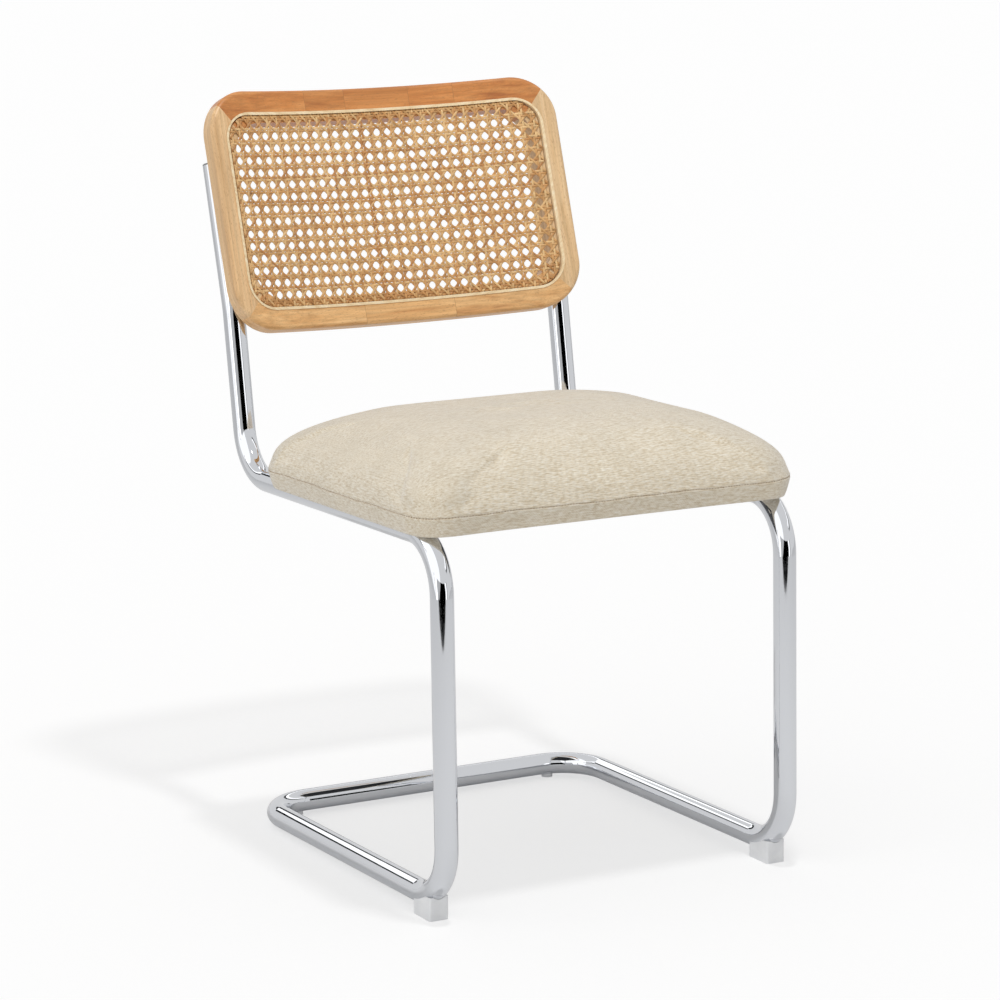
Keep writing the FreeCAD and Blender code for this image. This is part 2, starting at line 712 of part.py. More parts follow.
def cane_net():
    """The sheet's outline with rows of eight-sided openings, deep along Y."""
    inset = worked(sheet_inset)
    half_width = size("back_width") / 2 - size("stile_face") - inset
    low = size("bottom_rail_face") + inset
    high = size("back_height") - size("top_rail_face") - inset
    half_height = (high - low) / 2
    middle = Vector(0, -DEPTH, (low + high) / 2)
    reach = size("cane_opening") / 2
    corner = reach * math.tan(math.pi / 8)
    outline = ((reach, corner), (corner, reach), (-corner, reach), (-reach, corner),
               (-reach, -corner), (-corner, -reach), (corner, -reach), (reach, -corner))
    margin = size("cane_margin") + reach
    to_window = worked(window_inset) - inset
    edge_radius = size("groove_corner") - worked(window_inset)
    free_width = half_width - to_window - margin
    free_height = half_height - to_window - margin
    rim = edge_radius - margin
    columns = int(free_width / size("cane_pitch"))
    rows = int(free_height / size("cane_pitch"))
    border = rounded_outline(half_width, half_height, size("groove_corner") - inset, middle)
    openings = []
    for column in range(-columns, columns + 1):
        for row in range(-rows, rows + 1):
            across, up = column * size("cane_pitch"), row * size("cane_pitch")
            over_side = abs(across) - (free_width - rim)
            over_top = abs(up) - (free_height - rim)
            if min(over_side, over_top) > 0 and math.hypot(over_side, over_top) > rim:
                continue
            points = [middle + Vector(across + x, 0, up + z) for x, z in outline]
            openings.append(Part.makePolygon(points + points[:1]))
    print("cane openings", len(openings))
    return deep_prism(Part.makeFace([border] + openings, "Part::FaceMakerBullseye"))


def rounded_outline(half_width, half_height, radius, middle):
    """A wire in an XZ plane: straight sides joined by quarter circles."""
    edges = []
    bulge = radius * (1 - math.sqrt(0.5))
    for side, end in ((1, -1), (1, 1), (-1, 1), (-1, -1)):
        corner = middle + Vector(side * half_width, 0, end * half_height)
        upright = corner - Vector(0, 0, end * radius)
        level = corner - Vector(side * radius, 0, 0)
        through = corner - Vector(side * bulge, 0, end * bulge)
        first, last = (level, upright) if side * end < 0 else (upright, level)
        if edges:
            edges.append(Part.LineSegment(edges[-1].Vertexes[1].Point, first).toShape())
        edges.append(Part.Arc(first, through, last).toShape())
    start = edges[0].Vertexes[0].Point
    edges.append(Part.LineSegment(edges[-1].Vertexes[1].Point, start).toShape())
    return Part.Wire(edges)


cane_net_block = doc.addObject("Part::Feature", "cane_net_block")
cane_net_block.Shape = cane_net()
cane_flat = common("cane_flat", cane_slab, cane_net_block)
cane_lip_ring = cut(
    "cane_lip_ring",
    plan_block("cane_lip_outside", sheet_inset, f"groove_corner - {sheet_inset}"),
    plan_block("cane_lip_inside", "groove_width", "groove_corner - groove_width"),
)
cane_lip_slab = faceted_slab("cane_lip_slab", "0", "groove_depth - piece_clearance")
cane_lip = common("cane_lip", cane_lip_slab, cane_lip_ring)
cane_panel = doc.addObject("Part::MultiFuse", "cane_panel")
cane_panel.Shapes = [cane_flat, cane_lip]
cane_panel.Placement = BACK_FRAME

# Reed spline, driven into the groove beside the cane's edge
spline_ring = cut(
    "spline_ring",
    plan_block("spline_outside", "piece_clearance", "groove_corner - piece_clearance"),
    plan_block("spline_inside", f"{sheet_inset} - piece_clearance",
               f"groove_corner - {sheet_inset} + piece_clearance"),
)
cane_spline = common(
    "cane_spline",
    curved_slab("spline_slab", "-1 * spline_proud", "groove_depth - piece_clearance"),
    spline_ring, BACK_FRAME,
)


# Seat. Its frame's origin is under the cushion's middle, on the rails' centre lines.

board_base = size("tube_diameter") / 2 - size("board_groove")
BOARD_BASE = "(tube_diameter / 2 - board_groove)"
SEAM = f"({BOARD_BASE} + seam_height)"


def seat_ring(name, inset, corner, height):
    """A rounded rectangle inset from the cushion's seam, at a height in the seat frame."""
    sketch = new_sketch(name, "XY")
    rounded_rectangle(sketch, f"seat_width - 2 * ({inset})", f"seat_depth - 2 * ({inset})", corner)
    return bind(sketch, Placement__Base__z=height)


def lofted(name, rings):
    item = doc.addObject("Part::Loft", name)
    item.Sections = rings
    item.Solid = True
    item.Ruled = True
    return item


CROWN_STEPS = (0.0, 0.0075, 0.035, 0.1, 0.22, 0.4, 0.6)


def crown(name, skin):
    """The cushion's upper form, drawn in by a skin: steep sides and a domed top."""
    rings = []
    for number, step in enumerate(CROWN_STEPS, start=1):
        rise = (1 - (1 - step) ** 3) ** 0.25
        height = f"{SEAM} + (crown_height - {skin}) * {rise:.5f}"
        inset = f"{skin} + seat_depth / 2 * {step}"
        corner = f"(seat_corner - {skin}) * (1 - {step}) + seat_depth * 0.22 * {step}"
        rings.append(seat_ring(f"{name}_ring_{number}", inset, corner, height))
    return lofted(name, rings)


def band(name, skin, low, high):
    """The cushion's lower band: widest at the seam and tucked in below it."""
    rings = []
    for number, (level, tuck) in enumerate(((0.0, 1.0), (0.45, 0.35), (1.0, 0.0)), start=1):
        height = f"{low} + ({high} - {low}) * {level}"
        inset = f"{skin} + draw_in * {tuck}"
        rings.append(seat_ring(f"{name}_ring_{number}", inset, f"seat_corner - {inset}", height))
    return lofted(name, rings)


cover_crown = crown("cover_crown", "0")
foam_crown = crown("foam_crown", "cover_thickness")
seat_cover = cut("seat_cover", cover_crown, foam_crown, SEAT_FRAME)
band_outside = band("band_outside", "0", BOARD_BASE, SEAM)
band_inside = band("band_inside", "cover_thickness", BOARD_BASE, SEAM)
seat_cover_band = cut("seat_cover_band", band_outside, band_inside, SEAT_FRAME)

# Plywood board, grooved to sit on the rails
board_inset = "draw_in + cover_thickness + piece_clearance"
board_body = doc.addObject("PartDesign::Body", "board_body")
board_plan = rounded_rectangle(
    new_sketch("board_plan", "XY", board_body),
    f"seat_width - 2 * ({board_inset})", f"seat_depth - 2 * ({board_inset})",
    f"seat_corner - ({board_inset})",
)
board_pad = board_body.newObject("PartDesign::Pad", "board_pad")
board_pad.Profile = board_plan
bind(board_pad, Length="board_thickness")
board_body.Tip = board_pad
doc.recompute()
upper = [
    f"Edge{number}"
    for number, edge in enumerate(board_pad.Shape.Edges, start=1)
    if min(vertex.Z for vertex in edge.Vertexes) > size("board_thickness") - 1e-6
]
board_round = board_body.newObject("PartDesign::Fillet", "board_round")
board_round.Base = (board_pad, upper)
bind(board_round, Radius="board_edge")
board_body.Tip = board_round
board_body.Placement = SEAT_FRAME.multiply(Placement(Vector(0, 0, board_base), Rotation()))

# Tee nuts let into the board from above
tee_nut = turned("tee_nut", (
    ("screw_diameter / 2", "0"), ("tee_nut_barrel / 2", "0"), ("tee_nut_barrel / 2", "tee_nut_depth"),
    ("tee_nut_flange / 2", "tee_nut_depth"),
    ("tee_nut_flange / 2", "tee_nut_depth + tee_nut_sheet"),
    ("screw_diameter / 2", "tee_nut_depth + tee_nut_sheet"),
))
nut_base = board_base + size("board_thickness") - size("tee_nut_depth") - size("tee_nut_sheet")
nut_places = [Placement(spot + Vector(0, 0, nut_base), Rotation()) for spot in screw_stations]
seat_tee_nuts = copies("seat_tee_nuts", tee_nut, nut_places, SEAT_FRAME)
barrel_holes, flange_holes = [], []
for number, spot in enumerate(screw_stations, start=1):
    place = SEAT_FRAME.multiply(Placement(spot, Rotation()))
    barrel = cylinder(
        f"nut_barrel_hole_{number}", "tee_nut_barrel / 2 + piece_clearance",
        f"{BOARD_BASE} + board_thickness + hole_reach", place,
    )
    flange_base = nut_base + size("tee_nut_depth") - size("piece_clearance")
    place = SEAT_FRAME.multiply(Placement(spot + Vector(0, 0, flange_base), Rotation()))
    flange = cylinder(
        f"nut_flange_hole_{number}", "tee_nut_flange / 2 + piece_clearance", "tee_nut_sheet + hole_reach", place
    )
    barrel_holes.append(barrel)
    flange_holes.append(flange)
seat_board = carved("seat_board", board_body, [
    tube_bed, group("barrel_holes", barrel_holes), group("flange_holes", flange_holes),
])

# Foam on the board, up to the cover
foam_base = seat_ring(
    "foam_base_ring", "cover_thickness + piece_clearance", "seat_corner - cover_thickness - piece_clearance",
    f"{BOARD_BASE} + board_thickness",
)
foam_layer = extruded("foam_layer", foam_base, "seam_height - board_thickness")
seat_foam = doc.addObject("Part::MultiFuse", "seat_foam")
seat_foam.Shapes = [foam_layer, foam_crown]
seat_foam.Placement = SEAT_FRAME

# Dust cover under the board, between the rails
dust_plan = new_sketch("dust_plan", "XY")
rounded_rectangle(
    dust_plan, "frame_width - tube_diameter - 2 * dust_cover_margin",
    f"seat_depth - 2 * ({board_inset} + dust_cover_margin)", "seat_corner / 2",
)
bind(dust_plan, Placement__Base__z=f"{BOARD_BASE} - dust_cover_thickness")
seat_dust_cover = extruded("seat_dust_cover", dust_plan, "dust_cover_thickness")
seat_dust_cover.Placement = SEAT_FRAME


# Screws with saddle washers: inside the seat rails, and behind the uprights

def pan_screw(name, shank):
    """Pan head below, shank up along Z from the head's upper face at zero."""
    head = "screw_head_diameter / 2"
    return turned(name, (
        ("0", "-1 * screw_head_height"), (f"{head} - screw_head_edge", "-1 * screw_head_height"),
        (head, "screw_head_edge - screw_head_height"), (head, "0"), ("screw_diameter / 2", "0"),
        ("screw_diameter / 2", f"{shank} - screw_tip"), ("screw_diameter / 2 - screw_tip", shank),
        ("0", shank),
    ))


def ring_blank(name, diameter, height):
    """A washer before its curved face is cut."""
    bore = "screw_diameter / 2 + hole_clearance"
    outside = f"{diameter} / 2"
    return turned(name, ((bore, "0"), (outside, "0"), (outside, height), (bore, height)))


# Seat screws: heads up inside the rails, reached through the holes under them
bore_radius = f"({cap_plug})"
washer_base = f"(sqrt({bore_radius}^2 - (inner_washer / 2)^2) - washer_thickness)"
rail_fill = [
    cylinder(
        f"rail_fill_{number}", bore_radius, "seat_depth",
        SEAT_FRAME.multiply(Placement(Vector(side * HALF_FRAME, size("seat_depth") / 2, 0), FORWARD)),
    )
    for number, side in enumerate(SIDES, start=1)
]
inner_blank = ring_blank("inner_washer_blank", "inner_washer", f"{bore_radius} - {washer_base}")
washer_places = [Placement(spot + Vector(0, 0, worked(washer_base)), Rotation()) for spot in screw_stations]
seat_rings = copies("seat_washer_rings", inner_blank, washer_places, SEAT_FRAME)
seat_washers = common("seat_washers", seat_rings, group("rail_fills", rail_fill))
seat_shank = f"{BOARD_BASE} + board_thickness - tee_nut_sheet - {washer_base}"
seat_screw = pan_screw("seat_screw", seat_shank)
seat_screws = copies("seat_screws", seat_screw, washer_places, SEAT_FRAME)

# Back screws: from behind the uprights, through both walls
washer_ring = ring_blank("washer_ring", "washer_diameter", "washer_thickness + tube_diameter / 8")
behind_tube = TUBE_RADIUS + size("bed_clearance") + size("washer_thickness")
behind = [
    Placement(spot + Vector(0, behind_tube, 0), FORWARD) for spot in back_stations
]
back_rings = copies("back_washer_rings", washer_ring, behind, HEAD_FRAME)
back_washers = cut("back_washers", back_rings, tube_bed)
back_shank = "tube_diameter + bed_clearance + washer_thickness + back_screw_bite - screw_tip"
back_screw = pan_screw("back_screw", back_shank)
back_screws = copies("back_screws", back_screw, behind, HEAD_FRAME)

NODES = (
    frame_tube, left_cap, right_cap, front_glide_left, front_glide_right,
    rear_glide_left, rear_glide_right, back_top_rail, back_bottom_rail, back_left_stile,
    back_right_stile, corner_dowels, cane_panel, cane_spline, back_inserts, back_washers,
    back_screws, seat_board, seat_foam, seat_cover, seat_cover_band, seat_dust_cover,
    seat_tee_nuts, seat_washers, seat_screws,
)

doc.recompute()

failed = [item.Name for item in doc.Objects if {"Invalid", "Error"} & set(item.State)]
failed += [node.Name for node in NODES if node.Shape.isNull() or not node.Shape.isValid()]
if failed:
    raise RuntimeError("did not build: " + ", ".join(failed))

os.makedirs("parts", exist_ok=True)
for node in NODES:
    node.Label = node.Name
    node.Shape.exportStep(f"parts/{node.Label}.step")
    box = node.Shape.optimalBoundingBox()
    solids = len(node.Shape.Solids)
    print(node.Label, solids, "solids", f"{node.Shape.Volume / 1000:.2f} cm3",
          f"x {box.XMin:.1f} {box.XMax:.1f} y {box.YMin:.1f} {box.YMax:.1f} z {box.ZMin:.1f} {box.ZMax:.1f}")
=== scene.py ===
import math
import random

import bpy
import numpy as np
from mathutils import Matrix, Vector, noise


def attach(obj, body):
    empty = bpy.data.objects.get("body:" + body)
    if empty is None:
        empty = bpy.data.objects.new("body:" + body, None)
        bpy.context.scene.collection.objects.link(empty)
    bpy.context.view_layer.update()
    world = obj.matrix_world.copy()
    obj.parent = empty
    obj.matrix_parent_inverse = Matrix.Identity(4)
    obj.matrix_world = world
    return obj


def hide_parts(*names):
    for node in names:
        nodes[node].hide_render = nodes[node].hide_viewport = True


# A cantilever chair: bent chromed tube, beech backrest with woven cane, upholstered seat.
# Metres. X to the sitter's left, Y to the back, Z up, the origin on the floor.
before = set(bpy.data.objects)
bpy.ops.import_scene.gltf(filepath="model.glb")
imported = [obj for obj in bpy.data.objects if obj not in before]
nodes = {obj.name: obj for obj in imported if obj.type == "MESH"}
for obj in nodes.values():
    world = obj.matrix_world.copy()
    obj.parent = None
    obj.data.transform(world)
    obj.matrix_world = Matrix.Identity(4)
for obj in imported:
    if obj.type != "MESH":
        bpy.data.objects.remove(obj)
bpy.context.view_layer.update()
MM = 0.001

# Backrest frame: middle of its lower edge, on the hollow front face
BACK_ORIGIN = Vector((0, 0.19184, 0.55678))
BACK_RAKE = math.radians(18.2)
BACK_CURVE = 0.841

# The groove round the window, and the sheet of cane that is turned down into it
GROOVE_HALF_WIDTH = 0.2040
GROOVE_LOW = 0.0223
GROOVE_HIGH = 0.2503
GROOVE_CORNER = 0.035
SHEET_INSET = 0.0036

# Seat frame: under the cushion's middle, on the centre lines of the seat rails
SEAT_ORIGIN = Vector((0, -0.0871, 0.4046))
SEAT_TILT = math.radians(1.173)
SEAT_HALF_WIDTH = 0.2340
SEAT_HALF_DEPTH = 0.1985
SEAT_CORNER = 0.044
SEAM_LEVEL = 0.0225
CROWN = 0.0750
BOARD_LEVEL = 0.0032
DRAW_IN = 0.004


def leaning(origin, tilt):
    """A frame at origin whose Z leans back from the vertical by tilt."""
    return Matrix.Translation(origin) @ Matrix.Rotation(-tilt, 4, "X")


BACK_FRAME = leaning(BACK_ORIGIN, BACK_RAKE)
SEAT_FRAME = leaning(SEAT_ORIGIN, SEAT_TILT)


def colour(red, green, blue):
    """A display colour, 0 to 255 a channel, as linear light."""
    channels = []
    for value in (red / 255, green / 255, blue / 255):
        channels.append(value / 12.92 if value <= 0.04045 else ((value + 0.055) / 1.055) ** 2.4)
    return (*channels, 1.0)


# Materials


class Finish:
    """A material whose node tree is built by short calls."""

    def __init__(self, name, **sockets):
        self.material = bpy.data.materials.new(name)
        self.material.use_nodes = True
        self.tree = self.material.node_tree
        self.shader = self.tree.nodes["Principled BSDF"]
        for socket, value in sockets.items():
            self.shader.inputs[socket.replace("_", " ")].default_value = value

    def add(self, kind, inputs, **settings):
        node = self.tree.nodes.new("ShaderNode" + kind)
        for name, value in settings.items():
            setattr(node, name, value)
        for socket, value in inputs.items():
            if isinstance(value, bpy.types.NodeSocket):
                self.tree.links.new(value, node.inputs[socket])
            else:
                node.inputs[socket].default_value = value
        return node

    def set(self, socket, value):
        self.tree.links.new(value, self.shader.inputs[socket])

    def place(self):
        return self.add("TexCoord", {}).outputs["Object"]

    def math(self, operation, first, second=0.0, third=0.0):
        return self.add("Math", {0: first, 1: second, 2: third}, operation=operation).outputs[0]

    def scaled(self, vector, scale, rotation=(0, 0, 0), location=(0, 0, 0)):
        inputs = {"Vector": vector, "Scale": scale, "Rotation": rotation, "Location": location}
        return self.add("Mapping", inputs).outputs[0]

    def noise(self, vector, scale=1.0, detail=2.0, roughness=0.5, distortion=0.0):
        inputs = {
            "Vector": vector, "Scale": scale, "Detail": detail,
            "Roughness": roughness, "Distortion": distortion,
        }
        return self.add("TexNoise", inputs).outputs["Fac"]

    def ramp(self, value, *stops, interpolation="LINEAR"):
        node = self.add("ValToRGB", {"Fac": value})
        node.color_ramp.interpolation = interpolation
        while len(node.color_ramp.elements) < len(stops):
            node.color_ramp.elements.new(1.0)
        for element, (position, tone) in zip(node.color_ramp.elements, stops):
            element.position = position
            element.color = tone if hasattr(tone, "__len__") else (tone, tone, tone, 1)
        return node.outputs["Color"]

    def mix(self, amount, first, second, blend="MIX"):
        node = self.add("Mix", {}, data_type="RGBA", blend_type=blend)
        for socket, value in ((0, amount), (6, first), (7, second)):
            if isinstance(value, bpy.types.NodeSocket):
                self.tree.links.new(value, node.inputs[socket])
            else:
                node.inputs[socket].default_value = value
        return node.outputs[2]

    def bump(self, height, strength, distance, before=None):
        inputs = {"Height": height, "Strength": strength, "Distance": distance}
        if before is not None:
            inputs["Normal"] = before
        return self.add("Bump", inputs).outputs["Normal"]


STAVE_SHIFT = 3.7
STAVE_TONE_STEP = 0.618
STAVE_GAP_HALF = 0.35 * MM


def beech(name, upright, tones, seed, joints=()):
    """Lacquered beech: grain along the member, fine flecks, staves joined end to end."""
    finish = Finish(name, Roughness=0.42, Coat_Weight=0.22, Coat_Roughness=0.22)
    spot = finish.scaled(finish.place(), (1, 1, 1), rotation=(BACK_RAKE, 0, 0))
    axes = finish.add("SeparateXYZ", {"Vector": spot}).outputs
    along, across = (axes["Z"], axes["X"]) if upright else (axes["X"], axes["Z"])
    stave = 0.0
    for joint in joints:
        stave = finish.math("ADD", finish.math("GREATER_THAN", along, joint), stave)
    shift = finish.math("MULTIPLY_ADD", stave, STAVE_SHIFT, seed)
    shifted = finish.math("ADD", along, shift)
    grain = finish.add("CombineXYZ", {"X": shifted, "Y": across, "Z": axes["Y"]}).outputs[0]
    sweep = finish.noise(finish.scaled(grain, (5, 14, 14)), detail=2)
    rings = finish.scaled(grain, (1.6, 62, 62))
    rings = finish.add("VectorMath", {0: rings, 1: sweep}, operation="ADD").outputs[0]
    figure = finish.noise(rings, scale=1.6, detail=5, roughness=0.62, distortion=0.35)
    streak = finish.noise(finish.scaled(grain, (9, 420, 420)), detail=3, roughness=0.6)
    fleck = finish.noise(finish.scaled(grain, (240, 1500, 1500)), detail=1)
    broad = finish.noise(finish.scaled(grain, (4, 10, 10)), detail=1)
    light, middle, dark = tones
    base = finish.ramp(figure, (0.3, dark), (0.47, middle), (0.66, light))
    patch = finish.ramp(broad, (0.35, 0.93), (0.65, 1.06))
    base = finish.mix(1.0, base, patch, "MULTIPLY")
    fine = finish.ramp(streak, (0.3, 0.80), (0.62, 1.07))
    base = finish.mix(0.85, base, fine, "MULTIPLY")
    spots = finish.ramp(fleck, (0.60, 0.0), (0.70, 1.0))
    base = finish.mix(finish.math("MULTIPLY", spots, 0.45), base, colour(150, 100, 60))
    if joints:
        tone = finish.math("FRACT", finish.math("MULTIPLY", stave, STAVE_TONE_STEP))
        shade = finish.ramp(tone, (0.0, 1.0), (0.5, 0.93), (1.0, 1.04))
        base = finish.mix(1.0, base, shade, "MULTIPLY")
        for joint in joints:
            gap = finish.math("ABSOLUTE", finish.math("SUBTRACT", along, joint))
            line = finish.math("LESS_THAN", gap, STAVE_GAP_HALF)
            base = finish.mix(finish.math("MULTIPLY", line, 0.4), base, colour(140, 92, 55))
    finish.set("Base Color", base)
    finish.set("Roughness", finish.ramp(streak, (0.3, 0.36), (0.7, 0.48)))
    relief = finish.bump(streak, 0.10, 0.0004)
    finish.set("Normal", finish.bump(fleck, 0.08, 0.0003, relief))
    return finish.material


def chrome():
    """Polished plating with faint haze and the slight waves of bent tube."""
    finish = Finish("chrome", Metallic=1.0, Base_Color=colour(226, 228, 232), Roughness=0.05)
    haze = finish.noise(finish.place(), scale=55, detail=5, roughness=0.65)
    wipe = finish.noise(finish.scaled(finish.place(), (220, 30, 30)), detail=3)
    smear = finish.mix(0.5, haze, wipe)
    finish.set("Roughness", finish.ramp(smear, (0.35, 0.025), (0.75, 0.085)))
    wave = finish.noise(finish.place(), scale=16, detail=1)
    finish.set("Normal", finish.bump(wave, 0.05, 0.002))
    return finish.material


def plated_steel():
    """Zinc plated screws, washers and staples with a fine dull grain."""
    finish = Finish("zinc_plated_steel", Metallic=1.0, Roughness=0.3)
    grain = finish.noise(finish.place(), scale=900, detail=4)
    finish.set("Base Color", finish.ramp(grain, (0.3, colour(176, 178, 182)), (0.7, colour(205, 207, 210))))
    finish.set("Roughness", finish.ramp(grain, (0.3, 0.22), (0.7, 0.38)))
    finish.set("Normal", finish.bump(grain, 0.08, 0.0002))
    return finish.material


def brass():
    """Turned brass of the threaded inserts."""
    finish = Finish("insert_brass", Metallic=1.0, Roughness=0.32)
    grain = finish.noise(finish.place(), scale=700, detail=3)
    finish.set("Base Color", finish.ramp(grain, (0.3, colour(182, 148, 82)), (0.7, colour(208, 176, 110))))
    return finish.material


def moulded(name, light, dark, roughness, **sockets):
    """Moulded plastic with a fine spark-eroded grain."""
    finish = Finish(name, Roughness=roughness, **sockets)
    cloud = finish.noise(finish.place(), scale=60, detail=3)
    grain = finish.noise(finish.place(), scale=1800, detail=2)
    finish.set("Base Color", finish.ramp(cloud, (0.3, dark), (0.7, light)))
    finish.set("Roughness", finish.ramp(grain, (0.3, roughness - 0.05), (0.7, roughness + 0.08)))
    finish.set("Normal", finish.bump(grain, 0.12, 0.0002))
    return finish.material


def woven_cane():
    """Split rattan: glossy skin, a tone of its own for each strand, dark nodes here and there."""
    finish = Finish("cane_strand", Roughness=0.38, Specular_IOR_Level=0.55)
    spot = finish.place()
    strand = finish.add("NewGeometry", {}).outputs["Random Per Island"]
    tone = finish.ramp(
        strand, (0.0, colour(192, 134, 76)), (0.45, colour(214, 164, 104)), (1.0, colour(236, 197, 140))
    )
    blotch = finish.noise(spot, scale=120, detail=3, roughness=0.6)
    tone = finish.mix(1.0, tone, finish.ramp(blotch, (0.32, 0.80), (0.62, 1.06)), "MULTIPLY")
    scar = finish.noise(spot, scale=210, detail=2)
    mark = finish.ramp(scar, (0.69, 0.0), (0.76, 1.0))
    tone = finish.mix(finish.math("MULTIPLY", mark, 0.75), tone, colour(96, 52, 26))
    fibre = finish.noise(spot, scale=1600, detail=2)
    tone = finish.mix(0.5, tone, finish.ramp(fibre, (0.3, 0.82), (0.7, 1.12)), "MULTIPLY")
    finish.set("Base Color", tone)
    finish.set("Normal", finish.bump(fibre, 0.15, 0.0002))
    return finish.material


def reed():
    """The pale reed spline, with fibres along it."""
    finish = Finish("reed_spline", Roughness=0.5)
    spot = finish.place()
    fibre = finish.noise(finish.scaled(spot, (60, 700, 60)), detail=4, roughness=0.65)
    cross = finish.noise(finish.scaled(spot, (700, 700, 60)), detail=2)
    tone = finish.ramp(
        fibre, (0.3, colour(226, 196, 150)), (0.5, colour(244, 220, 178)), (0.7, colour(252, 236, 204))
    )
    tone = finish.mix(0.4, tone, finish.ramp(cross, (0.3, 0.86), (0.7, 1.05)), "MULTIPLY")
    finish.set("Base Color", tone)
    finish.set("Normal", finish.bump(fibre, 0.2, 0.0003))
    return finish.material


PLY_PAIR = 1.8 * MM


def plywood():
    """Beech plywood: grain on the faces, light and dark plies on the edge."""
    finish = Finish("plywood", Roughness=0.62)
    spot = finish.place()
    height = finish.add("SeparateXYZ", {"Vector": spot}).outputs["Z"]
    ply = finish.math("FRACT", finish.math("MULTIPLY", height, 1 / PLY_PAIR))
    grain = finish.noise(finish.scaled(spot, (10, 220, 220)), detail=4, roughness=0.6)
    tone = finish.ramp(grain, (0.3, colour(186, 146, 98)), (0.7, colour(222, 190, 146)))
    layer = finish.ramp(ply, (0.0, 0.78), (0.12, 1.0), (0.5, 1.0), (0.56, 0.9))
    finish.set("Base Color", finish.mix(1.0, tone, layer, "MULTIPLY"))
    finish.set("Normal", finish.bump(grain, 0.2, 0.0004))
    return finish.material


def dark_cloth():
    """Thin non-woven cloth under the seat, embossed with small dimples."""
    finish = Finish("dust_cover_cloth", Roughness=0.9, Sheen_Weight=0.15)
    spot = finish.place()
    dimple = finish.add("TexVoronoi", {"Vector": spot, "Scale": 620.0}).outputs["Distance"]
    fibre = finish.noise(spot, scale=900, detail=4, roughness=0.7)
    finish.set("Base Color", finish.ramp(fibre, (0.3, colour(24, 24, 26)), (0.7, colour(46, 46, 50))))
    relief = finish.bump(dimple, 0.5, 0.0004)
    finish.set("Normal", finish.bump(fibre, 0.3, 0.0003, relief))
    return finish.material


THREAD = 1.35 * MM


def upholstery():
    """Oatmeal chenille: two crossing sets of threads on the map of the cover, with slubs and fuzz, and painted
    shade in the valleys of the weave.
    """
    finish = Finish("oatmeal_chenille", Roughness=0.86, Sheen_Weight=0.60, Sheen_Roughness=0.45)
    laid = finish.add("UVMap", {}, uv_map="cloth").outputs["UV"]
    wobble = finish.noise(finish.scaled(laid, (90, 90, 1)), detail=2)
    drift = finish.math("MULTIPLY", finish.math("SUBTRACT", wobble, 0.5), 0.9)
    axes = finish.add("SeparateXYZ", {"Vector": laid}).outputs

    def threads(position, other):
        """Ridges of one set of threads, lower where the other set passes over."""
        count = finish.math("ADD", finish.math("MULTIPLY", position, 1 / THREAD), drift)
        ridge = finish.math("ABSOLUTE", finish.math("SINE", finish.math("MULTIPLY", count, math.pi)))
        cross = finish.math("MULTIPLY", other, math.pi / THREAD)
        turn = finish.math("MULTIPLY", finish.math("FLOOR", count), math.pi)
        over = finish.math("SINE", finish.math("ADD", cross, turn))
        return finish.math("MULTIPLY", ridge, finish.math("MULTIPLY_ADD", over, 0.35, 0.65))

    weave = finish.math("MAXIMUM", threads(axes["X"], axes["Y"]), threads(axes["Y"], axes["X"]))
    spot = finish.place()
    normal = finish.add("NewGeometry", {}).outputs["Normal"]
    facing_side = finish.add("SeparateXYZ", {"Vector": normal}).outputs["X"]
    sideways = finish.ramp(finish.math("ABSOLUTE", facing_side), (0.55, 0.0), (0.80, 1.0))
    slub_front = finish.noise(finish.scaled(spot, (150, 620, 620)), detail=4, roughness=0.7)
    slub_side = finish.noise(finish.scaled(spot, (620, 150, 620)), detail=4, roughness=0.7)
    slub = finish.mix(sideways, slub_front, slub_side)
    fuzz = finish.noise(spot, scale=2200, detail=2)
    cloudy = finish.noise(spot, scale=24, detail=3)
    base = finish.ramp(
        slub, (0.34, colour(204, 186, 156)), (0.5, colour(228, 216, 193)), (0.66, colour(242, 235, 220))
    )
    # Painted shade: the low parts of the weave, between and under the crossing threads, are darkened in the
    # colour.
    valley_shade = finish.ramp(weave, (0.15, 0.84), (0.75, 1.03))
    base = finish.mix(0.8, base, valley_shade, "MULTIPLY")
    base = finish.mix(0.6, base, finish.ramp(fuzz, (0.3, 0.86), (0.7, 1.10)), "MULTIPLY")
    base = finish.mix(1.0, base, finish.ramp(cloudy, (0.35, 0.965), (0.65, 1.02)), "MULTIPLY")
    dots = finish.ramp(finish.noise(spot, scale=640, detail=1), (0.70, 0.0), (0.78, 1.0))
    base = finish.mix(finish.math("MULTIPLY", dots, 0.35), base, colour(150, 118, 80))
    finish.set("Base Color", base)
    relief = finish.bump(weave, 0.45, 0.0005)
    relief = finish.bump(slub, 0.55, 0.0008, relief)
    finish.set("Normal", finish.bump(fuzz, 0.35, 0.0003, relief))
    return finish.material


def sewing_thread():
    """Twisted brown thread of the seam."""
    finish = Finish("sewing_thread", Roughness=0.7)
    twist = finish.noise(finish.place(), scale=1400, detail=2)
    finish.set("Base Color", finish.ramp(twist, (0.3, colour(128, 92, 58)), (0.7, colour(176, 138, 96))))
    return finish.material


# Mesh helpers


def made(name, points, faces, material):
    """A mesh piece that rides on the chair, with the finish it is given in its one slot."""
    mesh = bpy.data.meshes.new(name)
    mesh.from_pydata([tuple(point) for point in points], [], faces)
    mesh.update()
    piece = bpy.data.objects.new(name, mesh)
    bpy.context.collection.objects.link(piece)
    mesh.materials.append(material)
    mesh.shade_smooth()
    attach(piece, "root")
    return piece


def placed(matrix, points):
    """Rows of local points in the world, through a frame."""
    rows = np.asarray(points, dtype=float)
    turn = np.array(matrix.to_3x3())
    return rows @ turn.T + np.array(matrix.translation)


# Woven cane

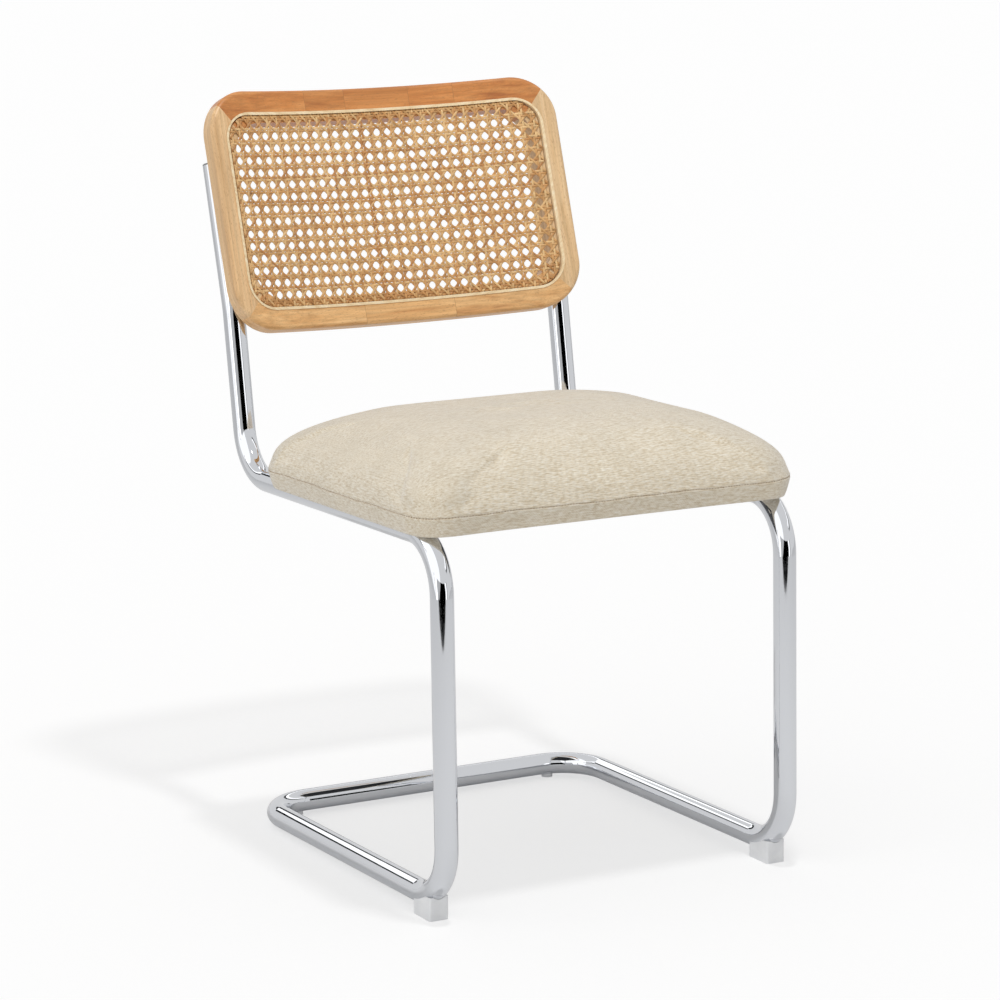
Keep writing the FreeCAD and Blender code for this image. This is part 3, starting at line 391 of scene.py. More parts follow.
CANE_PITCH_ACROSS = 13.5 * MM
CANE_PITCH_UP = 14.07 * MM
CANE_HOLE_ACROSS = -1.8 * MM
CANE_HOLE_UP = 53.5 * MM
STRAND_WIDTH = 2.5 * MM
STRAND_THICKNESS = 0.5 * MM
PAIR_HALF = 1.45 * MM
WEAVE_RISE = 0.42 * MM
DIAGONAL_RISE = 0.50 * MM
CANE_DEPTH = 1.15 * MM
STEPS_PER_PITCH = 6
TURN_DOWN = 3.2 * MM
STRAND_COLUMNS = range(-17, 18)
STRAND_ROWS = range(-6, 20)
STRAND_SLANTS = range(-30, 31)
SLANT_WIDTH = 0.96
SPAN_STEP = 0.5 * MM
SPAN_REACH = 0.35

SHEET_HALF_WIDTH = GROOVE_HALF_WIDTH - SHEET_INSET
SHEET_LOW = GROOVE_LOW + SHEET_INSET
SHEET_HIGH = GROOVE_HIGH - SHEET_INSET
SHEET_CORNER = GROOVE_CORNER - SHEET_INSET


def on_back(around, up, depth):
    """A point at a distance round the hollow, a height and a depth behind the front face."""
    radius = BACK_CURVE + depth
    angle = around / BACK_CURVE
    return Vector((radius * math.sin(angle), radius * math.cos(angle) - BACK_CURVE, up))


def sheet_span(start, way):
    """Where a straight line crosses the sheet's rounded outline, as two distances along it."""
    middle = (SHEET_LOW + SHEET_HIGH) / 2
    half_up = (SHEET_HIGH - SHEET_LOW) / 2

    def inside(distance):
        across = abs(start[0] + way[0] * distance) - (SHEET_HALF_WIDTH - SHEET_CORNER)
        up = abs(start[1] + way[1] * distance - middle) - (half_up - SHEET_CORNER)
        if max(across, up) > SHEET_CORNER:
            return False
        return min(across, up) <= 0 or math.hypot(across, up) <= SHEET_CORNER

    numbers = range(int(-SPAN_REACH / SPAN_STEP), int(SPAN_REACH / SPAN_STEP))
    hits = [number * SPAN_STEP for number in numbers if inside(number * SPAN_STEP)]
    return (hits[0], hits[-1]) if len(hits) > 8 else None


def strand_into(points, faces, line, width):
    """Adds one flat strand with a crowned face along a line of (around, up, depth) stations."""
    stations = [Vector(station) for station in line]
    whole_way = (stations[-1] - stations[0]).xy
    first = len(points)
    half = width / 2
    low, edge, top = STRAND_THICKNESS / 2, -0.05 * STRAND_THICKNESS, -STRAND_THICKNESS / 2
    profile = ((-half, low), (half, low), (half, edge), (half * 0.45, top), (-half * 0.45, top), (-half, edge))
    count = len(profile)
    for number, station in enumerate(stations):
        before = stations[max(number - 1, 0)]
        after = stations[min(number + 1, len(stations) - 1)]
        way = Vector((after.x - before.x, after.y - before.y))
        if way.length < 1e-6:
            way = whole_way
        way = way.normalized()
        side = Vector((-way.y, way.x))
        for across, rise in profile:
            spot = (station.x + side.x * across, station.y + side.y * across, station.z + rise)
            points.append(on_back(*spot))
    for number in range(len(stations) - 1):
        ring = first + number * count
        for corner in range(count):
            after = (corner + 1) % count
            faces.append((ring + corner, ring + after, ring + count + after, ring + count + corner))
    faces.append(tuple(first + corner for corner in reversed(range(count))))
    last = first + (len(stations) - 1) * count
    faces.append(tuple(last + corner for corner in range(count)))


def cane_line(start, way, pitch, rise, wave, dice):
    """Stations of one strand: its waves inside the sheet and its ends turned down."""
    span = sheet_span(start, way)
    if span is None:
        return None
    low, high = span
    step = pitch / STEPS_PER_PITCH
    first, last = math.ceil(low / step + 0.3), math.floor(high / step - 0.3)
    inner = [number * step for number in range(first, last + 1)]
    wander = dice.uniform(-0.25, 0.25) * MM
    phase = dice.uniform(0, 50)
    line = []
    for distance in [low] + inner + [high]:
        drift = wander + 0.28 * MM * noise.noise(Vector((distance * 38, phase, 0)))
        around = start[0] + way[0] * distance - way[1] * drift
        up = start[1] + way[1] * distance + way[0] * drift
        line.append((around, up, CANE_DEPTH - rise * wave(2 * math.pi * distance / pitch)))
    line.insert(0, (line[0][0], line[0][1], TURN_DOWN))
    line.append((line[-1][0], line[-1][1], TURN_DOWN))
    return line


def woven_panel(material):
    """Six-way cane: pairs up, pairs across, and two sets of diagonals round each opening."""
    dice = random.Random(7)
    crossing_across = CANE_HOLE_ACROSS - CANE_PITCH_ACROSS / 2
    crossing_up = CANE_HOLE_UP - CANE_PITCH_UP / 2
    strands = []
    for column in STRAND_COLUMNS:
        for side in (-1, 1):
            start = (crossing_across + column * CANE_PITCH_ACROSS + side * PAIR_HALF, crossing_up)
            strands.append((start, (0, 1), CANE_PITCH_UP, side * WEAVE_RISE, math.sin, STRAND_WIDTH))
    for row in STRAND_ROWS:
        for side in (-1, 1):
            start = (crossing_across, crossing_up + row * CANE_PITCH_UP + side * PAIR_HALF)
            strands.append((start, (1, 0), CANE_PITCH_ACROSS, -side * WEAVE_RISE, math.sin, STRAND_WIDTH))
    slant = math.hypot(CANE_PITCH_ACROSS, CANE_PITCH_UP)
    narrow = STRAND_WIDTH * SLANT_WIDTH
    for lean in (1, -1):
        way = (CANE_PITCH_ACROSS / slant, lean * CANE_PITCH_UP / slant)
        for number in STRAND_SLANTS:
            start = (crossing_across, crossing_up + (number + 0.5) * CANE_PITCH_UP)
            strands.append((start, way, slant, lean * DIAGONAL_RISE, math.cos, narrow))
    points, faces = [], []
    for start, way, pitch, rise, wave, width in strands:
        line = cane_line(start, way, pitch, rise, wave, dice)
        if line:
            strand_into(points, faces, line, width)
    panel = made("woven_cane_panel", placed(BACK_FRAME, points), faces, material)
    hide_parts("cane_panel")


# Upholstered cushion

ARC_STEPS = 6
DEPTH_STEPS = 60
WIDTH_STEPS = 76
CROWN_RINGS = 34
BAND_RINGS = 6
CROWN_FLAT = 0.6
CROWN_POWER = 0.357
CORNER_GROWTH = 0.25
UNDER_BOARD = 1.5 * MM
CORNER_HANG = 0.5 * MM
HANG_FROM = 0.11
HANG_RUN = 0.10
SHRINK = 2.0 * MM
SHRINK_RUN = 12 * MM
SWELL_CAP = 4.5 * MM
SWELL_FRAMES = 20

# Rings beside the seam: share of the way to the next ring, and how far out they stand
SEAM_DEPTH = 1.4 * MM
LOW_SHOULDERS = ((0.6, 0.3 * MM), (0.18, 0.25 * MM))
HIGH_SHOULDERS = ((0.14, 0.3 * MM), (0.5, 0.4 * MM))

COVER_CLOTH = {
    "quality": 6,
    "mass": 0.3,
    "tension_stiffness": 18,
    "compression_stiffness": 18,
    "shear_stiffness": 8,
    "bending_stiffness": 2.0,
    "use_pressure": True,
    "uniform_pressure_force": 4.0,
    "vertex_group_mass": "held",
}


def rounded_ring(half_x, half_y, corner):
    """Points and outward headings round a rounded rectangle, from the front right corner."""
    spots, headings = [], []
    fan = [math.pi / 4 * step / ARC_STEPS for step in range(ARC_STEPS)]
    for side in range(4):
        outward = (half_x, half_y)[side % 2] - corner
        reach = (half_y, half_x)[side % 2] - corner
        straight = (DEPTH_STEPS, WIDTH_STEPS)[side % 2]
        local = [(angle - math.pi / 4, -reach) for angle in fan]
        local += [(0.0, -reach + 2 * reach * step / straight) for step in range(straight + 1)]
        local += [(angle, reach) for angle in fan[1:]]
        turn = side * math.pi / 2
        turn_cos, turn_sin = math.cos(turn), math.sin(turn)
        for angle, along in local:
            out = outward + corner * math.cos(angle)
            swung = along + corner * math.sin(angle)
            spots.append((out * turn_cos - swung * turn_sin, out * turn_sin + swung * turn_cos))
            headings.append(turn + angle)
    return np.array(spots), np.array(headings)


def crown_rise(step):
    """Height of the crown, 0 to 1, where the ring is drawn in by a share of the half depth."""
    return (1 - (1 - step) ** 2) ** CROWN_POWER


def crown_steps(count):
    """Shares of draw-in whose rings lie evenly along the crown's profile."""
    fine = np.linspace(0, 1, 4001) ** 3 * CROWN_FLAT
    rise = np.array([crown_rise(step) for step in fine]) * CROWN
    run = fine * SEAT_HALF_DEPTH
    length = np.concatenate([[0], np.cumsum(np.hypot(np.diff(run), np.diff(rise)))])
    marks = np.linspace(0, length[-1], count + 1)
    return np.interp(marks, length, fine), marks


def corner_drop(spots):
    """The cloth hangs a little lower where it is folded in at the corners."""
    share = np.clip((np.abs(spots[:, 0]) - HANG_FROM) / HANG_RUN, 0, 1)
    return CORNER_HANG * share * share * (3 - 2 * share)


def cushion_rings(shrink):
    """Rings from the lower edge to the flat of the crown, and the cloth's map above the seam."""
    rings, maps = [], []
    for number in range(BAND_RINGS):
        level = number / BAND_RINGS
        inset = DRAW_IN * (1 - level) ** 1.6 + shrink * (1 - level)
        spots, _ = rounded_ring(SEAT_HALF_WIDTH - inset, SEAT_HALF_DEPTH - inset, SEAT_CORNER - inset)
        base = BOARD_LEVEL - UNDER_BOARD - corner_drop(spots)
        rings.append(np.column_stack([spots, base + (SEAM_LEVEL - base) * level]))
    shares, lengths = crown_steps(CROWN_RINGS)
    for share, length in zip(shares, lengths):
        inset = share * SEAT_HALF_DEPTH + shrink * min(1, length / SHRINK_RUN)
        corner = SEAT_CORNER * (1 - share) + 2 * SEAT_HALF_DEPTH * CORNER_GROWTH * share
        spots, headings = rounded_ring(SEAT_HALF_WIDTH - inset, SEAT_HALF_DEPTH - inset, corner)
        height = SEAM_LEVEL + (CROWN - shrink) * crown_rise(share)
        rings.append(np.column_stack([spots, np.full(len(spots), height)]))
        way = np.column_stack([np.cos(headings), np.sin(headings)])
        maps.append(way * (lengths[-1] - length))
    top = rings[-1][:, :2]
    return rings, [top + reach for reach in maps]


def patch(ring, flip, rise):
    """Quads that fill a ring, with the points inside it blended from its four sides."""
    across = WIDTH_STEPS + 2 * ARC_STEPS
    deep = DEPTH_STEPS + 2 * ARC_STEPS
    right = list(range(0, deep + 1))
    rear = list(range(deep, deep + across + 1))
    left = list(range(deep + across, 2 * deep + across + 1))
    front = [number % len(ring) for number in range(2 * deep + across, 2 * (deep + across) + 1)]
    index = np.zeros((across + 1, deep + 1), dtype=int)
    index[:, 0] = front
    index[across, :] = right
    index[:, deep] = rear[::-1]
    index[0, :] = left[::-1]
    extra, inner = [], {}
    for i in range(1, across):
        for j in range(1, deep):
            u, v = i / across, j / deep
            spot = (1 - v) * ring[index[i, 0]] + v * ring[index[i, deep]]
            spot = spot + (1 - u) * ring[index[0, j]] + u * ring[index[across, j]]
            spot = spot - (1 - u) * (1 - v) * ring[index[0, 0]] - u * (1 - v) * ring[index[across, 0]]
            spot = spot - (1 - u) * v * ring[index[0, deep]] - u * v * ring[index[across, deep]]
            bulge = (1 - (2 * u - 1) ** 2) * (1 - (2 * v - 1) ** 2)
            inner[i, j] = len(extra)
            extra.append(spot + np.array([0, 0, rise * bulge]))
    faces = []

    def number(i, j):
        return ("inner", inner[i, j]) if (i, j) in inner else ("ring", int(index[i, j]))

    for i in range(across):
        for j in range(deep):
            quad = [number(i, j), number(i + 1, j), number(i + 1, j + 1), number(i, j + 1)]
            faces.append(quad[::-1] if flip else quad)
    return np.array(extra), faces


def closed_cushion(rings, crown_bulge):
    """Points and faces of the closed form: rings, a crown patch and a flat underside."""
    count = len(rings[0])
    points = [np.asarray(ring) for ring in rings]
    faces = []
    for level in range(len(rings) - 1):
        low, high = level * count, (level + 1) * count
        for step in range(count):
            after = (step + 1) % count
            faces.append((low + step, low + after, high + after, high + step))
    total = len(rings) * count
    ends = ((rings[-1], (len(rings) - 1) * count, False, crown_bulge), (rings[0], 0, True, 0.0))
    for ring, start, flip, rise in ends:
        extra, quads = patch(np.asarray(ring), flip, rise)
        for quad in quads:
            faces.append(tuple(total + where if kind == "inner" else start + where for kind, where in quad))
        points.append(extra)
        total += len(extra)
    return np.vstack(points), faces


def swollen(points, faces, held):
    """The points after the cover has been blown up under pressure, held along its seam."""
    mesh = bpy.data.meshes.new("cushion_before")
    mesh.from_pydata([tuple(point) for point in points], [], faces)
    mesh.update()
    trial = bpy.data.objects.new("cushion_before", mesh)
    bpy.context.collection.objects.link(trial)
    group = trial.vertex_groups.new(name="held")
    group.add([int(number) for number in held], 1.0, "REPLACE")
    cloth = trial.modifiers.new("cover", "CLOTH")
    for name, value in COVER_CLOTH.items():
        setattr(cloth.settings, name, value)
    cloth.settings.effector_weights.gravity = 0.0
    cloth.collision_settings.use_collision = False
    scene = bpy.context.scene
    for number in range(1, SWELL_FRAMES + 1):
        scene.frame_set(number)
    graph = bpy.context.evaluated_depsgraph_get()
    result = trial.evaluated_get(graph)
    moved = np.empty(len(points) * 3)
    result.data.vertices.foreach_get("co", moved)
    moved = moved.reshape(-1, 3)
    scene.frame_set(1)
    bpy.data.objects.remove(trial)
    change = moved - points
    size = np.linalg.norm(change, axis=1, keepdims=True)
    return points + change * np.minimum(1, SWELL_CAP / np.maximum(size, 1e-9))


def seam_wave(around):
    """The seam runs a little up and down."""
    return 0.55 * MM * np.sin(around * 34 + 1.0) + 0.35 * MM * np.sin(around * 91 + 2.0)


def lay_map(piece, faces, groups, maps):
    """The map of the cloth, face by face; each group of faces reads a map of its own."""
    layer = piece.data.uv_layers.new(name="cloth")
    rows = []
    for face, group in zip(faces, groups):
        spots = maps[group][list(face)]
        if group == "band":
            far = spots[:, 0].max() - spots[:, 0]
            spots = spots + np.column_stack([np.where(far > 0.5, maps["length"], 0.0), np.zeros(len(face))])
        rows.append(spots)
    layer.data.foreach_set("uv", np.vstack(rows).ravel())


def cover_maps(whole, rings, level_of_seam, around, length, crown_maps):
    """A map for the band round the sides, one for the crown and one for the underside."""
    count = len(around)
    band = np.zeros((len(whole), 2))
    for level, ring in enumerate(rings):
        band[level * count:(level + 1) * count] = np.column_stack([around, ring[:, 2]])
    crown = whole[:, :2].copy()
    first, second = crown_maps[:2]
    shoulders = [first + (second - first) * share for share, _ in HIGH_SHOULDERS]
    for step, spots in enumerate([first, *shoulders, *crown_maps[1:]]):
        row = (level_of_seam + step) * count
        crown[row:row + count] = spots
    return {"band": band, "crown": crown, "under": whole[:, :2], "length": length}


def cushion(material):
    """The stuffed seat: blown up as cloth, then drawn in along its stitched seam."""
    bulge = CROWN * (1 - crown_rise(CROWN_FLAT))
    rings, crown_maps = cushion_rings(SHRINK)
    count, seam = len(rings[0]), BAND_RINGS
    points, faces = closed_cushion(rings, bulge)
    inner = (WIDTH_STEPS + 2 * ARC_STEPS - 1) * (DEPTH_STEPS + 2 * ARC_STEPS - 1)
    ring_total = len(rings) * count
    under = ring_total + inner
    held = list(range(count)) + list(range(seam * count, (seam + 1) * count))
    points = swollen(points, faces, held + list(range(under, under + inner)))
    blown = [points[level * count:(level + 1) * count] for level in range(len(rings))]
    outline, headings = rounded_ring(SEAT_HALF_WIDTH, SEAT_HALF_DEPTH, SEAT_CORNER)
    steps = np.hypot(*np.diff(np.vstack([outline, outline[:1]]), axis=0).T)
    around = np.concatenate([[0], np.cumsum(steps)[:-1]])
    outward = np.column_stack([np.cos(headings), np.sin(headings)])
    line = blown[seam].copy()
    line[:, 2] += seam_wave(around)

    def beside(other, share, out):
        ring = line + (other - line) * share
        ring[:, :2] += outward * out
        return ring

    groove = beside(line, 0.0, -SEAM_DEPTH)
    below, above = blown[seam - 1], blown[seam + 1]
    low_rings = [beside(below, share, out) for share, out in LOW_SHOULDERS]
    high_rings = [beside(above, share, out) for share, out in HIGH_SHOULDERS]
    final = blown[:seam] + low_rings + [groove] + high_rings + blown[seam + 1:]
    level_of_seam = seam + len(low_rings)
    whole, faces = closed_cushion(final, bulge)
    start = len(final) * count
    whole[start:start + inner] = points[ring_total:under]
    whole[start + inner:] = points[under:]

    maps = cover_maps(whole, final, level_of_seam, around, steps.sum(), crown_maps)
    quads = (WIDTH_STEPS + 2 * ARC_STEPS) * (DEPTH_STEPS + 2 * ARC_STEPS)
    groups = ["band"] * (level_of_seam * count) + ["crown"] * ((len(final) - 1 - level_of_seam) * count)
    groups += ["crown"] * quads + ["under"] * quads
    piece = made("seat_cushion", placed(SEAT_FRAME, whole), faces, material)
    lay_map(piece, faces, groups, maps)
    soften = piece.modifiers.new("soften", "SUBSURF")
    soften.levels = 1
    soften.render_levels = 1
    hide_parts("seat_cover", "seat_cover_band", "seat_foam")
    return groove, outward


STITCH_PITCH = 3.4 * MM
STITCH_LENGTH = 2.3 * MM
STITCH_RADIUS = 0.36 * MM


def stitches(groove, outward, material):
    """Short slack stitches of brown thread along the bottom of the seam."""
    dice = random.Random(3)
    closed = np.vstack([groove, groove[:1]])
    ways = np.vstack([outward, outward[:1]])
    length = np.concatenate([[0], np.cumsum(np.linalg.norm(np.diff(closed, axis=0), axis=1))])
    points, faces = [], []
    sides = 5
    stations = ((-0.5, 0.35, -0.2), (-0.28, 1.0, 0.5), (0.28, 1.0, 0.5), (0.5, 0.35, -0.2))
    for number in range(int(length[-1] / STITCH_PITCH)):
        middle = (number + 0.5) * STITCH_PITCH + dice.uniform(-0.15, 0.15) * MM
        long = STITCH_LENGTH * dice.uniform(0.85, 1.1)
        first = len(points)
        for share, thick, proud in stations:
            mark = middle + share * long
            spot = np.array([np.interp(mark, length, closed[:, axis]) for axis in range(3)])
            way = np.array([np.interp(mark, length, ways[:, axis]) for axis in range(2)] + [0.0])
            spot = spot + way * (0.45 * MM + proud * STITCH_RADIUS)
            spot[2] += share * 0.5 * MM
            for corner in range(sides):
                angle = 2 * math.pi * corner / sides
                radius = STITCH_RADIUS * thick
                lift = np.array([0, 0, radius * math.sin(angle)])
                points.append(spot + way * radius * math.cos(angle) + lift)
        for ring in range(len(stations) - 1):
            low = first + ring * sides
            for corner in range(sides):
                after = (corner + 1) % sides
                faces.append((low + corner, low + sides + corner, low + sides + after, low + after))
        faces.append(tuple(first + corner for corner in range(sides)))
        last = first + (len(stations) - 1) * sides
        faces.append(tuple(last + corner for corner in reversed(range(sides))))
    made("seat_seam_stitches", placed(SEAT_FRAME, points), faces, material)


# Dust cover under the seat, held by wire staples

DUST_HALF_WIDTH = 0.1800
DUST_HALF_DEPTH = 0.1840
DUST_THICKNESS = 0.5 * MM
STAPLE_PITCH = 48 * MM
STAPLE_INSET = 6 * MM
STAPLE_HALF = 5.5 * MM
STAPLE_WIRE = 0.45 * MM
STAPLE_DROP = 3.0 * MM


def dust_cloth(material):
    """A thin panel, a little slack between its staples, with its edges turned in."""
    across, deep = 60, 60
    points, faces = [], []
    for layer in (0, 1):
        for i in range(across + 1):
            for j in range(deep + 1):
                u, v = 2 * i / across - 1, 2 * j / deep - 1
                x, y = u * DUST_HALF_WIDTH, v * DUST_HALF_DEPTH
                edge = min(1 - abs(u), 1 - abs(v))
                slack = 1.1 * MM * math.sin(min(edge, 0.5) * math.pi) ** 0.8
                slack *= 0.7 + 0.9 * noise.noise(Vector((x * 16, y * 16, 0)))
                hem = 0.45 * MM if edge < 0.06 else 0.0
                gather = 0.35 * MM * math.sin((x + y) * 130) * max(0, 1 - edge / 0.16)
                height = -0.5 * MM - max(slack, 0) - hem - gather - layer * DUST_THICKNESS
                points.append((x, y, BOARD_LEVEL - 0.6 * MM + height))
    rows = deep + 1
    size = (across + 1) * rows

    def at(layer, i, j):
        return layer * size + i * rows + j

    for i in range(across):
        for j in range(deep):
            faces.append((at(0, i, j), at(0, i + 1, j), at(0, i + 1, j + 1), at(0, i, j + 1)))
            faces.append((at(1, i, j), at(1, i, j + 1), at(1, i + 1, j + 1), at(1, i + 1, j)))
    for i in range(across):
        faces.append((at(1, i, 0), at(1, i + 1, 0), at(0, i + 1, 0), at(0, i, 0)))
        faces.append((at(0, i, deep), at(0, i + 1, deep), at(1, i + 1, deep), at(1, i, deep)))
    for j in range(deep):
        faces.append((at(0, 0, j), at(0, 0, j + 1), at(1, 0, j + 1), at(1, 0, j)))
        faces.append((at(1, across, j), at(1, across, j + 1), at(0, across, j + 1), at(0, across, j)))
    piece = made("seat_dust_cloth", placed(SEAT_FRAME, points), faces, material)
    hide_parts("seat_dust_cover")


def staples(material):
    """Wire staples round the dust cover's edge, each a round bar with bent-in legs."""
    points, faces = [], []
    half_x, half_y = DUST_HALF_WIDTH - STAPLE_INSET, DUST_HALF_DEPTH - STAPLE_INSET
    places = []
    for half, other, turned in ((half_x, half_y, False), (half_y, half_x, True)):
        number = int(2 * half / STAPLE_PITCH)
        for step in range(number + 1):
            along = -half + 2 * half * (step + 0.5) / (number + 1)
            for side in (-1, 1):
                spot = (side * other, along) if turned else (along, side * other)
                places.append((spot, turned))
    level = BOARD_LEVEL - STAPLE_DROP
    sides = 6
    route = ((-1.0, 2.2), (-1.0, 0.35), (-0.92, 0.0), (0.92, 0.0), (1.0, 0.35), (1.0, 2.2))
    for (x, y), turned in places:
        first = len(points)
        for share, lift in route:
            for corner in range(sides):
                angle = 2 * math.pi * corner / sides
                swing = STAPLE_WIRE * math.cos(angle)
                rise = STAPLE_WIRE * math.sin(angle)
                out = share * STAPLE_HALF + (rise if lift > 1 else 0)
                up = level + lift * MM + (0 if lift > 1 else rise)
                points.append((x + swing, y + out, up) if turned else (x + out, y + swing, up))
        for ring in range(len(route) - 1):
            low = first + ring * sides
            for corner in range(sides):
                after = (corner + 1) % sides
                faces.append((low + corner, low + after, low + sides + after, low + sides + corner))
    made("dust_cover_staples", placed(SEAT_FRAME, points), faces, material)


# The object

upholstery_finish = upholstery()
steel_finish = plated_steel()
chrome_finish = chrome()
cap_finish = moulded("grey_plastic", colour(150, 151, 153), colour(132, 133, 136), 0.42)
glide_finish = moulded(
    "clear_plastic", colour(246, 247, 248), colour(236, 237, 239), 0.36,
    Transmission_Weight=0.06, IOR=1.49,
)
WARM = (colour(220, 150, 84), colour(207, 134, 68), colour(180, 106, 48))
PALE = (colour(243, 206, 157), colour(230, 189, 138), colour(212, 166, 112))
PALEST = (colour(232, 200, 156), colour(223, 187, 139), colour(206, 166, 116))
GOLDEN = (colour(246, 199, 139), colour(231, 179, 117), colour(208, 149, 89))
CAD_FINISHES = {
    "frame_tube": chrome_finish,
    "tube_end_cap_left": cap_finish,
    "tube_end_cap_right": cap_finish,
    "front_glide_left": glide_finish,
    "front_glide_right": glide_finish,
    "rear_glide_left": glide_finish,
    "rear_glide_right": glide_finish,
    "back_top_rail": beech("beech_top_rail", False, WARM, 1.3, (-0.0906, -0.038, 0.0448, 0.1013)),
    "back_bottom_rail": beech("beech_bottom_rail", False, GOLDEN, 5.1, (-0.0523, 0.0634)),
    "back_left_stile": beech("beech_left_stile", True, PALE, 9.7),
    "back_right_stile": beech("beech_right_stile", True, PALEST, 14.2),
    "corner_dowels": beech("beech_dowels", False, PALE, 21.0),
    "cane_spline": reed(),
    "back_inserts": brass(),
    "back_washers": steel_finish,
    "back_screws": steel_finish,
    "seat_board": plywood(),
    "seat_tee_nuts": steel_finish,
    "seat_washers": steel_finish,
    "seat_screws": steel_finish,
}
for node, finish in CAD_FINISHES.items():
    for number in range(len(nodes[node].material_slots)):
        nodes[node].material_slots[number].material = finish

woven_panel(woven_cane())
groove_line, groove_ways = cushion(upholstery_finish)
stitches(groove_line, groove_ways, sewing_thread())
dust_cloth(dark_cloth())
staples(steel_finish)

# Studio: white ground and backdrop, a dark room behind the camera for the chrome to mirror

CAMERA_AZIMUTH = math.radians(-28.7734)
CAMERA_ELEVATION = math.radians(11.3998)
CAMERA_ROLL = math.radians(-0.2365)
CAMERA_DISTANCE = 4.145
CAMERA_TARGET = Vector((-0.00516, -0.03584, 0.38710))
CAMERA_LENS = 134.98
SEEN_WHITE = 0.982
MIRRORED_WHITE = 0.76
SOFTBOX_GAIN = 0.7
AMBIENT = 0.56
KEY_PLACE = Vector((0.00, -0.65, 2.86))
KEY_SIZE = 0.24
KEY_ON_FLOOR = 0.27
FILL_WAY = Vector((-1.0, -0.3, 0.55))
FILL_SPREAD = math.radians(80)
FILL_LIGHT = 0.70
FLOOR_LIT = 0.86
FLOOR_SEEN = 0.45
FLOOR_GLOW = 0.688
FLOOR_NEAR = 1.85
FLOOR_FAR = 30.0
FLOOR_SIDE = 12.0

# What the chrome mirrors: bands of facing toward the camera or of height, middle and half width
ROOM_FACING = 0.78
ROOM_TOP = 0.26
BEHIND_FACING = 0.2
DARK_LINE = (0.425, 0.032)
DARK_EDGE = (0.58, 0.02)
SIDE_BOX = (0.71, 0.07)
HIGH_BOX = (0.50, 0.04)


def toward_camera(near, side):
    """A spot on the floor, so far from the middle toward the camera and to its right."""
    azimuth = CAMERA_AZIMUTH
    return (
        near * math.sin(azimuth) + side * math.cos(azimuth),
        -near * math.cos(azimuth) + side * math.sin(azimuth), 0.0,
    )


def ground():
    """A white floor that ends in front of the chair, and is brighter to the eye than as light."""
    finish = Finish("ground", Roughness=0.9, Specular_IOR_Level=0.0)
    seen = finish.add("LightPath", {}).outputs["Is Camera Ray"]
    lit, shown = [(value, value, value, 1) for value in (FLOOR_LIT, FLOOR_SEEN)]
    finish.set("Base Color", finish.mix(seen, lit, shown))
    foot = (KEY_PLACE.x, KEY_PLACE.y, 0.0)
    reach = finish.add("VectorMath", {0: finish.place(), 1: foot}, operation="DISTANCE").outputs["Value"]
    steep = finish.math("POWER", finish.math("DIVIDE", reach, KEY_PLACE.z), 2.0)
    faded = finish.math("SUBTRACT", 1.0, finish.math("POWER", finish.math("ADD", steep, 1.0), -2.0))
    made_up = finish.math("MULTIPLY", faded, KEY_ON_FLOOR * FLOOR_SEEN)
    glow = finish.math("ADD", made_up, FLOOR_GLOW - KEY_ON_FLOOR * FLOOR_SEEN)
    finish.set("Emission Strength", finish.math("MULTIPLY", seen, glow))
    finish.shader.inputs["Emission Color"].default_value = (1, 1, 1, 1)
    corners = (
        (FLOOR_NEAR, -FLOOR_SIDE), (FLOOR_NEAR, FLOOR_SIDE),
        (-FLOOR_FAR, FLOOR_SIDE), (-FLOOR_FAR, -FLOOR_SIDE),
    )
    mesh = bpy.data.meshes.new("studio_ground")
    mesh.from_pydata([toward_camera(*corner) for corner in corners], [], [(0, 1, 2, 3)])
    floor = bpy.data.objects.new("studio_ground", mesh)
    bpy.context.collection.objects.link(floor)
    mesh.materials.append(finish.material)


